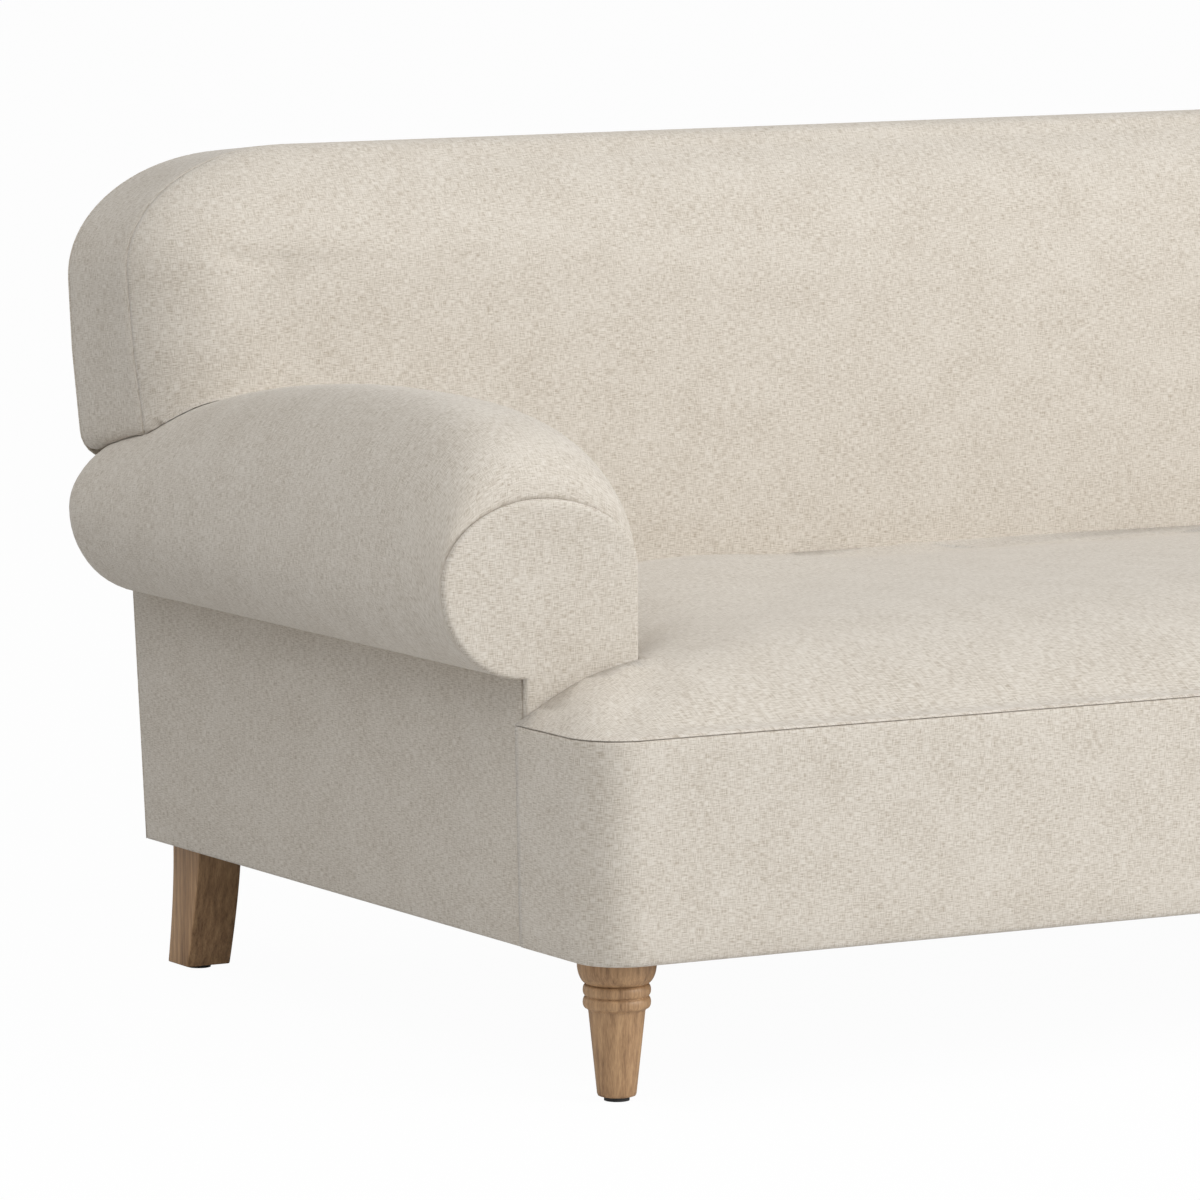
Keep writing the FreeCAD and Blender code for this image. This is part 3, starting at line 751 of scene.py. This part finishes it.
    def build_border(self, cloth: bpy.types.Material) -> bpy.types.Object:
        """Makes the band under the seam, turned in at the seam and at the underside.

        Args:
            cloth: The cover cloth.

        Returns:
            The border.
        """
        seam = self.body.seam
        rear = self.arm_front - self.clear
        steps = [(0.022, 0.0004), (0.006, 0.0004), (0.0015, 0.002), (0.0, 0.006), (0.0, 0.03), (0.0, 0.07),
                 (0.0, 0.11), (0.0, 0.15), (0.0, 0.18), (0.0, seam - 0.004), (0.0004, seam - 0.0012),
                 (0.0014, seam - 0.0004), (0.008, seam - 0.0004), (0.019, seam - 0.0004)]
        outlines = []
        weaves = []
        for inset, height in steps:
            outline = self.plan(inset, rear, height, max(self.corner - inset, 0.01))
            draw_in = self.taper * (1 - height / seam)
            for point in outline:
                point.x -= math.copysign(draw_in, point.x) * smooth(abs(point.x), 0, self.body.half)
            along = lengths(outline)
            outlines.append(outline)
            weaves.append([Vector((distance - along[-1] / 2, height, 0)) for distance in along])
        skin = Skin(outlines[0], weaves[0], closed=False).through(outlines[1:], weaves[1:])
        rims = [edge for edge in skin.mesh.edges if edge.is_boundary]
        low = self.body.underside + 0.001
        high = self.body.underside + seam - 0.0006
        tops = [edge for edge in rims if min(v.co.z for v in edge.verts) > high]
        bottoms = [edge for edge in rims if max(v.co.z for v in edge.verts) < low]
        bmesh.ops.bridge_loops(skin.mesh, edges=tops + bottoms)
        skin.close()
        piece = mesh_piece("front_border", skin.mesh, cloth)
        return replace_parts(piece, "front_border_cover", "front_border_padding")


@dataclass(frozen=True)
class Arm:
    """A rolled arm: its cover, its front face and the flat panel outside. Sizes in metres."""
    body: Body
    front: float = 0.150
    width: float = 0.123
    overhang: float = 0.087
    contact: float = 0.253
    middle: float = 0.343
    crest: float = 0.015
    shoulder: float = 0.069
    pad_bottom: float = 0.185
    face_top: float = 0.421
    face_depth: float = 0.008
    rear: float = 0.924
    rear_round: float = 0.030
    face_side: float = 0.0004
    wall: float = 0.024
    sweep: float = 3.3
    sweep_root: float = 0.55
    skin: float = 0.003
    ridge: tuple = ((0.400, 0.502), (0.490, 0.4995), (0.580, 0.492), (0.670, 0.481), (0.760, 0.4645),
                    (0.850, 0.442), (0.930, 0.418), (0.960, 0.404))

    def top(self, depth: float) -> float:
        """Height of the crest, which rises from the face in one round sweep and falls to the rear.

        Args:
            depth: Distance from the front of the body.

        Returns:
            The height above the underside.
        """
        peak, peak_height = self.ridge[0]
        if depth >= peak:
            return through(self.ridge, depth)
        start = self.front + self.face_depth
        share = min((peak - depth) / (peak - start), 1.0)
        return self.face_top + (peak_height - self.face_top) * (1 - share ** self.sweep) ** self.sweep_root

    def roll(self, depth: float, top: float, inset: float, side: float) -> Points:
        """Outline of the roll, from the inner shoulder over the crest to the side panel.

        Args:
            depth: Distance from the front of the body.
            top: Height of the crest.
            inset: How far the outline is drawn in.
            side: Distance in from the side at which the underside of the roll ends.

        Returns:
            The points.
        """
        at = self.body.at
        shoulder = at(self.width - inset, depth, top - self.shoulder - inset / 2)
        crest = at(self.crest, depth, top - inset)
        widest = at(inset - self.overhang, depth, self.middle)
        contact = at(side + inset, depth, self.contact + inset / 2)
        points = [shoulder]
        for start, finish, centre in (
                (shoulder, crest, Vector((crest.x, crest.y, shoulder.z))),
                (crest, widest, Vector((crest.x, crest.y, widest.z))),
                (widest, contact, Vector((contact.x, crest.y, widest.z)))):
            points += curve(centre, start - centre, finish - centre, 14)
        return points

    def section(self, depth: float, inset: float) -> Points:
        """Whole outline of the arm at a distance from the front, inner wall included.

        Args:
            depth: Distance from the front of the body.
            inset: How far it is drawn in.

        Returns:
            Points of the outline, in order.
        """
        points = self.roll(depth, self.top(depth), inset, self.skin)
        foot = self.body.at(self.width - inset, depth, self.pad_bottom)
        base = self.body.at(self.width - self.wall, depth, self.pad_bottom)
        over = self.body.at(self.width - self.wall, depth, self.contact + inset / 2)
        wall = run(base, foot, 2) + run(foot, points[0], 8)
        return points + run(points[-1], over, 5) + run(over, base, 3) + wall[:-1]

    def cover_skin(self) -> Skin:
        """Grows the arm's cover from the seam at its front face to its rounded rear end.

        Returns:
            The closed skin.
        """
        start = self.front + self.face_depth
        stops = [(start + 0.004, 0.012), (start + SEAM_GAP, 0.008), (start - SEAM_GAP, 0.0022),
                 (start + SEAM_GAP, 0.0005), (start + 0.003, 0.0)]
        stops += [(start + 0.007 + 0.092 * (step / 12) ** 1.6, 0.0) for step in range(13)]
        stops += [(0.270 + (self.rear - 0.270) * step / 24, 0.0) for step in range(25)]
        turns = [math.pi / 2 * step / 7 for step in range(1, 8)]
        stops += [(self.rear + self.rear_round * math.sin(turn), self.rear_round * (1 - math.cos(turn)))
                  for turn in turns]
        outlines = [self.section(depth, inset) for depth, inset in stops]
        crests = lengths([outline[14] for outline in outlines])
        weaves = [[Vector((around, run_on, 0)) for around in lengths(outline)]
                  for outline, run_on in zip(outlines, crests)]
        return Skin(outlines[0], weaves[0]).through(outlines[1:], weaves[1:]).close()

    def face_skin(self) -> Skin:
        """Grows the arm's front face: a shallow pad with turned-in edges.

        Returns:
            The closed skin.
        """
        outlines = []
        weaves = []
        steps = [(0.008, 0.009), (0.0078, 0.003), (0.0062, 0.0006), (0.0042, 0.0), (0.0016, 0.0012),
                 (0.0004, 0.003), (0.0, 0.006), (0.0, 0.012), (0.0, 0.018)]
        for depth, inset in steps:
            roll = self.roll(self.front + depth, self.face_top, inset, self.face_side)
            seat = self.body.seam + SEAM_GAP + inset / 3
            outer = self.body.at(self.face_side + inset, self.front + depth, seat)
            inner = self.body.at(self.width - inset, self.front + depth, seat)
            outline = roll + run(roll[-1], outer, 4) + run(outer, inner, 8) + run(inner, roll[0], 8)[:-1]
            outlines.append(outline)
            weaves.append([Vector((point.x, point.z, 0)) for point in outline])
        return Skin(outlines[0], weaves[0]).through(outlines[1:], weaves[1:]).close()

    def panel_skin(self) -> Skin:
        """Grows the flat panel under the roll, softened round its edges.

        Returns:
            The closed skin.
        """
        rise = math.tan(self.body.rake)
        outlines = []
        weaves = []
        rear = self.body.depth - 0.0035
        for inward, inset in ((0.003, 0.0), (0.0016, 0.0), (0.0004, 0.0008), (0.0, 0.003), (-0.0012, 0.012),
                              (-0.0028, 0.035), (-0.0036, 0.070)):
            low = inset
            high = self.contact - inset
            front = self.front + self.face_depth + SEAM_GAP
            corners = [self.body.at(inward, front + inset, low),
                       self.body.at(inward, rear - inset + low * rise, low),
                       self.body.at(inward, rear - inset + high * rise, high),
                       self.body.at(inward, front + inset, high)]
            outline = []
            for a, b, steps in zip(corners, corners[1:] + corners[:1], (24, 8, 24, 8)):
                outline += run(a, b, steps)
            outlines.append(outline)
            weaves.append([Vector((point.y, point.z, 0)) for point in outline])
        return Skin(outlines[0], weaves[0]).through(outlines[1:], weaves[1:]).close()

    def build(self, cloth: bpy.types.Material) -> None:
        """Makes both arms.

        Args:
            cloth: The cover cloth.
        """
        for side in Side:
            parts = [("arm_roll_", self.cover_skin(), ("arm_cover_", "arm_foam_")),
                     ("arm_face_", self.face_skin(), ("arm_facing_",)),
                     ("outside_arm_", self.panel_skin(), ("outside_arm_panel_",))]
            for name, skin, nodes in parts:
                if side is Side.RIGHT:
                    skin.mirrored()
                piece = mesh_piece(name + side.value, skin.mesh, cloth)
                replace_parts(piece, *[node + side.value for node in nodes])

    def top_at(self, x: float, depth: float) -> float:
        """Height of the roll's upper surface at a place in plan, or nothing's height beside it.

        Args:
            x: Distance across from the middle.
            depth: Distance from the front of the body.

        Returns:
            The height, or 0 beside the roll.
        """
        s = self.body.half - abs(x)
        top = self.top(min(depth, self.rear + self.rear_round))
        if s > self.width or s < -self.overhang:
            return 0.0
        if s > self.crest:
            share = (s - self.crest) / (self.width - self.crest)
            low = top - self.shoulder
        else:
            share = (self.crest - s) / (self.overhang + self.crest)
            low = self.middle
        return low + (top - low) * math.sqrt(max(1 - share * share, 0.0))


@dataclass(frozen=True)
class Back:
    """The tight back: a crowned front, its boxing and the flat rear panel. Sizes in metres."""
    body: Body
    arm: Arm
    overhang: float = 0.054
    bottom: float = 0.183
    shelf: float = 0.388
    low_round: float = 0.030
    waist: float = 0.500
    narrowing: float = 0.004
    corner_width: float = 0.190
    corner_height: float = 0.125
    top: float = 0.695
    boxing: float = 0.126
    wedge: float = math.radians(4)
    reach: float = 0.112
    swell: float = 0.070
    tuck: float = 0.02
    lift: float = 0.0008
    held_below: float = 0.30
    held_beside: float = 0.53
    held_band: float = 0.020
    pressure: float = 2.0
    most: float = 0.006

    def outline(self, depth: float, inset: float, between_arms: bool = True) -> Points:
        """Outline of the back from its left foot round to the right one.

        Args:
            depth: Distance from the front of the body.
            inset: How far the outline is drawn in.
            between_arms: Whether the foot is narrow, or as wide as the body and down to its underside.

        Returns:
            The points.
        """
        at = self.body.at
        low = max(self.low_round - inset, self.low_round / 5)
        side = inset - self.overhang
        tucked = side + self.narrowing
        inner = self.arm.width + SEAM_GAP + inset * self.tuck if between_arms else inset
        foot = self.bottom + inset * self.tuck if between_arms else inset
        shelf = self.shelf + inset / 2
        wide, high = self.corner_width - inset, self.corner_height - inset
        spring = self.top - inset - high
        points = [at(inner, depth, foot)]
        points += run(points[-1], at(inner, depth, shelf), 12)
        points += run(points[-1], at(tucked + low, depth, shelf), 10)
        points += curve(at(tucked + low, depth, shelf + low), Vector((0, 0, -low)), Vector((-low, 0, 0)), 6)
        points += run(points[-1], at(side, depth, self.waist), 6)
        points += run(points[-1], at(side, depth, spring), 4)
        points += curve(at(side + wide, depth, spring), Vector((-wide, 0, 0)), Vector((0, 0, high)), 22)
        points += run(points[-1], Vector((0, points[-1].y, points[-1].z)), 26)
        points += [Vector((-point.x, point.y, point.z)) for point in reversed(points[:-1])]
        return points + run(points[-1], points[0], 52)[:-1]

    def lean(self, mesh: bmesh.types.BMesh) -> None:
        """Gives a part its wedge in front of the seam, then leans it with the back.

        Args:
            mesh: The part, upright.
        """
        face = self.body.front + self.body.depth - self.boxing
        hinge = Vector((0, face, self.body.underside + self.top))
        slope = math.tan(self.wedge)
        for point in mesh.verts:
            share = smooth(self.body.front + self.body.depth - point.co.y, 0.0, self.boxing)
            point.co.y -= (hinge.z - point.co.z) * slope * share
        self.body.lean(mesh)

    def rest_on_arms(self, mesh: bmesh.types.BMesh) -> None:
        """Lifts what would lie inside an arm onto its roll.

        Args:
            mesh: A part of the back.
        """
        for point in mesh.verts:
            roof = self.arm.top_at(point.co.x, point.co.y - self.body.front)
            roof += self.body.underside + self.lift
            if roof > point.co.z > self.body.underside + self.arm.contact:
                point.co.z = roof

    def front_skin(self) -> Skin:
        """Grows the crowned front from its seam and gives its middle an even net of faces.

        Returns:
            The skin.
        """
        face = self.body.depth - self.boxing
        shares = [0.006, 0.015, 0.03, 0.055, 0.09, 0.13, 0.18, 0.24, 0.31, 0.39, 0.48,
                  0.58, 0.69, 0.8, 0.9, 1.0]
        steps = [(0.012, 0.004), (0.003, -0.0004), (0.0007, 0.0004)]
        steps += [(share * self.reach, 0.001 + (1 - (1 - share) ** 2) ** 0.7 * (self.swell - 0.001))
                  for share in shares]
        outlines = [self.outline(face - forward, inset) for inset, forward in steps]
        total = lengths([Vector((inset, forward, 0)) for inset, forward in steps])
        insets = [self.reach - total[-1] + length for length in total]
        weaves = [[Vector((point.x, point.z, 0)) for point in self.outline(face, inset)] for inset in insets]
        skin = Skin(outlines[0], weaves[0]).through(outlines[1:], weaves[1:])
        middle = bmesh.ops.contextual_create(skin.mesh, geom=skin.rim)["faces"]
        self.net(skin, middle, Vector((1, 0, 0)), 0.040, 0.9)
        self.net(skin, middle, Vector((0, 0, 1)), 0.030, 0.9)
        for point in skin.mesh.verts:
            depth = outlines[-1][0].y - point.co.y
            if abs(depth) < FLAT:
                across = smooth(self.body.half - 0.07 - abs(point.co.x), 0, 0.6)
                upward = smooth(self.body.underside + self.top - self.reach - point.co.z, 0, 0.2)
                point.co.y -= 0.006 * across * upward
                point[skin.weave] = Vector((point.co.x, point.co.z, 0))
        return skin

    def net(self, skin: Skin, faces: list, out: Vector, pitch: float, most: float) -> None:
        """Divides the flat middle of the front by evenly spaced cuts.

        Args:
            skin: The front.
            faces: Its middle face.
            out: Direction across the cuts.
            pitch: Distance between them.
            most: Reach to each side.
        """
        flat = faces[0].calc_center_median().y if faces else 0.0
        count = round(most / pitch)
        for number in range(-count, count + 1):
            every = [face for face in skin.mesh.faces if abs(face.calc_center_median().y - flat) < FLAT]
            edges = {edge for face in every for edge in face.edges}
            corners = {corner for face in every for corner in face.verts}
            place = Vector((0, 0, self.body.underside + 0.45)) + out * (number * pitch + pitch / 3)
            bmesh.ops.bisect_plane(
                skin.mesh, geom=every + list(edges) + list(corners), dist=FLAT, plane_co=place, plane_no=out)

    def band_skin(self) -> Skin:
        """Grows the boxing from the rear panel to the seam, with both edges turned in.

        Returns:
            The skin.
        """
        face = self.body.depth - self.boxing
        rear = self.body.depth - 0.0036
        steps = [(rear - 0.001, 0.012), (rear, 0.003), (rear - 0.001, 0.0006), (rear - 0.004, 0.0)]
        steps += [(rear - 0.004 - (self.boxing - 0.012) * share / 10, 0.0) for share in range(1, 11)]
        steps += [(face + 0.0032, 0.0006), (face + 0.0018, 0.003), (face + 0.0014, 0.012)]
        outlines = [self.outline(depth, inset) for depth, inset in steps]
        weaves = [[Vector((along, depth, 0)) for along in lengths(outline)]
                  for outline, (depth, _) in zip(outlines, steps)]
        return Skin(outlines[0], weaves[0]).through(outlines[1:], weaves[1:])

    def rear_skin(self) -> Skin:
        """Grows the rear panel: the outline of the back above, as wide as the body below.

        Returns:
            The closed skin.
        """
        outlines = []
        weaves = []
        steps = ((-0.0030, 0.004), (-0.0032, 0.0012), (-0.0022, 0.0), (-0.0008, 0.0008), (0.0, 0.004))
        for depth, inset in steps:
            outline = self.outline(self.body.depth + depth, inset, between_arms=False)
            outlines.append(outline)
            weaves.append([Vector((point.x, point.z, 0)) for point in outline])
        return Skin(outlines[0], weaves[0]).through(outlines[1:], weaves[1:]).close()

    def build(self, cloth: bpy.types.Material) -> None:
        """Makes the front, the boxing and the rear panel.

        Args:
            cloth: The cover cloth.
        """
        front = self.front_skin().close()
        self.lean(front.mesh)
        self.rest_on_arms(front.mesh)
        piece = mesh_piece("back_cushion", front.mesh, cloth)
        seam_line = [v.index for v in piece.data.vertices if self.near_seam(v.co)]
        fill_out(piece, seam_line, self.pressure, self.most)
        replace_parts(piece, "back_cover")
        band = self.band_skin().close()
        self.lean(band.mesh)
        self.rest_on_arms(band.mesh)
        boxing = mesh_piece("back_boxing", band.mesh, cloth)
        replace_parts(boxing, "back_foam")
        rear = self.rear_skin()
        self.body.lean(rear.mesh)
        panel = mesh_piece("outside_back", rear.mesh, cloth)
        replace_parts(panel, "outside_back_panel")

    def near_seam(self, place: Vector) -> bool:
        """Whether a point of the front lies at the seam, an arm or the seat.

        Args:
            place: The point.

        Returns:
            True if it is held still.
        """
        depth = place.y - self.body.front
        height = place.z - self.body.underside
        face = self.body.depth - self.boxing + height * math.tan(self.body.rake)
        face -= (self.top - height) * math.tan(self.wedge)
        by_arm = abs(place.x) > self.body.half - self.arm.width - self.held_band
        low = height < self.held_below or (by_arm and height < self.held_beside)
        return depth > face - self.held_band or low


# Legs

@dataclass(frozen=True)
class Legs:
    """Turned front legs and square rear legs that sweep back. Sizes in metres."""
    body: Body
    glide: float = 0.004
    front_side: float = 0.049
    front_back: float = 0.065
    top_radius: float = 0.0373
    neck_radius: float = 0.0275
    bead_radius: float = 0.0318
    bead_root: float = 0.0292
    foot_radius: float = 0.0185
    lip: float = 0.004
    bead_top: float = 0.024
    bead_height: float = 0.0115
    rear_side: float = 0.028
    rear_width: float = 0.049
    rear_front: float = 0.874
    rear_depth: float = 0.059
    foot_depth: float = 0.043
    sweep: float = 0.028

    def turned(self) -> bmesh.types.BMesh:
        """Spins the front leg's profile: a cup, two beads and a long taper.

        Returns:
            The left leg.
        """
        foot = self.glide - self.body.underside
        drop = self.bead_top - self.lip
        cup = Vector((self.neck_radius, 0, -self.lip))
        profile = [Vector((0, 0, 0)), Vector((self.top_radius - 0.001, 0, 0)),
                   Vector((self.top_radius, 0, -0.001)), Vector((self.top_radius, 0, -self.lip))]
        profile += curve(cup, Vector((self.top_radius - self.neck_radius, 0, 0)), Vector((0, 0, -drop)), 8)
        for row in range(2):
            middle = -self.bead_top - self.bead_height * (row + 0.5)
            for step in range(9):
                turn = math.pi * step / 8
                out = self.bead_root + (self.bead_radius - self.bead_root) * math.sin(turn)
                profile.append(Vector((out, 0, middle + self.bead_height * 0.47 * math.cos(turn))))
        waist = -self.bead_top - 2 * self.bead_height
        profile += [Vector((0.0275, 0, waist - 0.0008)), Vector((0.0266, 0, waist - 0.0025))]
        profile += run(profile[-1], Vector((self.foot_radius, 0, foot + 0.003)), 6)
        profile += [Vector((self.foot_radius - 0.0008, 0, foot + 0.0008)),
                    Vector((self.foot_radius - 0.003, 0, foot)), Vector((0, 0, foot))]
        mesh = bmesh.new()
        corners = [mesh.verts.new(point) for point in profile]
        edges = [mesh.edges.new(pair) for pair in zip(corners, corners[1:])]
        bmesh.ops.spin(mesh, geom=corners + edges, cent=Vector(), axis=Vector((0, 0, 1)),
                       angle=2 * math.pi, steps=64, use_merge=True)
        bmesh.ops.remove_doubles(mesh, verts=mesh.verts, dist=TOUCH)
        bmesh.ops.recalc_face_normals(mesh, faces=mesh.faces)
        bmesh.ops.translate(mesh, vec=self.body.at(self.front_side, self.front_back, 0), verts=mesh.verts)
        return mesh

    def swept(self) -> bmesh.types.BMesh:
        """Grows the rear leg through its sections and softens its edges.

        Returns:
            The left leg.
        """
        outlines = []
        for step in range(13):
            share = step / 12
            depth = self.rear_front + self.sweep * share ** 1.47
            width = self.rear_depth + (self.foot_depth - self.rear_depth) * share
            height = (self.glide - self.body.underside) * share
            outlines.append([
                self.body.at(self.rear_side, depth, height),
                self.body.at(self.rear_side + self.rear_width, depth, height),
                self.body.at(self.rear_side + self.rear_width, depth + width, height),
                self.body.at(self.rear_side, depth + width, height)])
        skin = Skin(outlines[0], outlines[0]).through(outlines[1:], outlines[1:]).close()
        sharp = [edge for edge in skin.mesh.edges if edge.calc_face_angle(0.0) > 1.0]
        bmesh.ops.bevel(skin.mesh, geom=sharp, offset=0.0016, offset_type="OFFSET", segments=3, profile=0.5,
                        affect="EDGES", material=-1)
        return skin.mesh

    def build(self, wood: bpy.types.Material) -> None:
        """Makes the four legs.

        Args:
            wood: The leg wood.
        """
        for name, make, node in (("turned_legs", self.turned, "front_legs"),
                                 ("swept_legs", self.swept, "rear_legs")):
            mesh = make()
            copy = bmesh.ops.duplicate(mesh, geom=mesh.verts[:] + mesh.edges[:] + mesh.faces[:])["geom"]
            corners = [part for part in copy if isinstance(part, bmesh.types.BMVert)]
            bmesh.ops.scale(mesh, vec=Vector((-1, 1, 1)), verts=corners)
            bmesh.ops.recalc_face_normals(mesh, faces=mesh.faces)
            piece = mesh_piece(name, mesh, wood)
            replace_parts(piece, node)


def dress_frame() -> None:
    """Gives every working part of the frame its own stuff."""
    made = {stuff.value.slot: stuff.value.make() for stuff in Stuff}
    for row in frame["record"]["subparts"]:
        if row["material_slot"] in made:
            node = frame["nodes"][row["node"]]
            node.material_slots[0].material = made[row["material_slot"]]


# Studio

@dataclass(frozen=True)
class Studio:
    """Camera, lamps, white backdrop and floor."""
    place: tuple = (-4.6918, -6.9621, 1.3933)
    right: tuple = (0.8673056, -0.4977760, 0.0)
    up: tuple = (0.0607339, 0.1058204, 0.9925288)
    lens: float = 246.73
    sensor: float = 36.0
    world: float = 0.385
    key: float = 230.0
    top: float = 75.0
    tint: tuple = (0.97, 0.985, 1.0)
    glow: float = 0.97
    aim: tuple = (0.0, 0.0, 0.4)
    key_place: tuple = (2.6, -4.4, 2.8)
    top_place: tuple = (-2.4, -1.2, 3.8)

    def camera(self) -> None:
        """Sets the camera where the photograph was taken from."""
        data = bpy.data.cameras.new("camera")
        data.lens = self.lens
        data.sensor_width = self.sensor
        camera = bpy.data.objects.new("camera", data)
        right, up = Vector(self.right), Vector(self.up)
        turn = Matrix((right, up, right.cross(up))).transposed()
        camera.matrix_world = Matrix.Translation(self.place) @ turn.to_4x4()
        bpy.context.scene.collection.objects.link(camera)
        bpy.context.scene.camera = camera

    def lamp(self, name: str, place: Vector, aim: Vector, size: float, power: float) -> None:
        """Adds a soft square lamp that looks at a point.

        Args:
            name: Name of the lamp.
            place: Where it stands.
            aim: Point it looks at.
            size: Side of the square.
            power: Its power in watts.
        """
        data = bpy.data.lights.new(name, "AREA")
        data.size = size
        data.energy = power
        data.color = self.tint
        lamp = bpy.data.objects.new(name, data)
        lamp.location = place
        lamp.rotation_euler = (aim - place).to_track_quat("-Z", "Y").to_euler()
        bpy.context.scene.collection.objects.link(lamp)

    def backdrop(self) -> None:
        """Makes a world that gives soft light and looks white to the camera, and a pale floor."""
        world = bpy.data.worlds.new("studio")
        world.use_nodes = True
        bpy.context.scene.world = world
        tree = world.node_tree
        rays = tree.nodes.new("ShaderNodeLightPath")
        seen = tree.nodes.new("ShaderNodeMath")
        seen.operation = "MAXIMUM"
        tree.links.new(rays.outputs["Is Camera Ray"], seen.inputs[0])
        tree.links.new(rays.outputs["Is Glossy Ray"], seen.inputs[1])
        level = tree.nodes.new("ShaderNodeMapRange")
        level.inputs["To Min"].default_value = self.world
        level.inputs["To Max"].default_value = 1.0
        tree.links.new(seen.outputs[0], level.inputs["Value"])
        tree.links.new(level.outputs[0], tree.nodes["Background"].inputs["Strength"])
        tree.nodes["Background"].inputs["Color"].default_value = (1, 1, 1, 1)
        mesh = bmesh.new()
        bmesh.ops.create_grid(mesh, x_segments=1, y_segments=1, size=30)
        data = bpy.data.meshes.new("floor")
        mesh.to_mesh(data)
        mesh.free()
        floor = bpy.data.objects.new("floor", data)
        bpy.context.scene.collection.objects.link(floor)
        recipe = Recipe("pale_floor")
        recipe.dress(Base_Color=(0.80, 0.80, 0.80, 1), Roughness=0.9)
        glow = recipe.node("ShaderNodeEmission", {}, {"Color": (1, 1, 1, 1), "Strength": 1.0})
        rays = recipe.node("ShaderNodeLightPath", {}, {})
        share = Value(recipe.tree, rays.outputs["Is Camera Ray"]) * self.glow
        shaded = recipe.shader.outputs[0]
        mix = recipe.node("ShaderNodeMixShader", {}, {0: share, 1: shaded, 2: glow.outputs[0]})
        recipe.tree.links.new(mix.outputs[0], recipe.tree.nodes["Material Output"].inputs["Surface"])
        data.materials.append(recipe.material)

    def build(self) -> None:
        """Sets up the whole studio."""
        bpy.context.scene.view_settings.view_transform = "Standard"
        self.camera()
        self.backdrop()
        aim = Vector(self.aim)
        self.lamp("key", Vector(self.key_place), aim, 3.0, self.key)
        self.lamp("overhead", Vector(self.top_place), aim, 3.5, self.top)


def main() -> None:
    """Builds the sofa and its studio."""
    logging.basicConfig(level=logging.INFO, format="%(name)s: %(message)s")
    Studio().build()
    body = read_body()
    cloth = Linen().make()
    seat = Seat(body)
    seat.build_seat(cloth)
    seat.build_border(cloth)
    arm = Arm(body)
    arm.build(cloth)
    Back(body, arm).build(cloth)
    Legs(body).build(Oak().make())
    dress_frame()


if __name__ == "__main__":
    main()
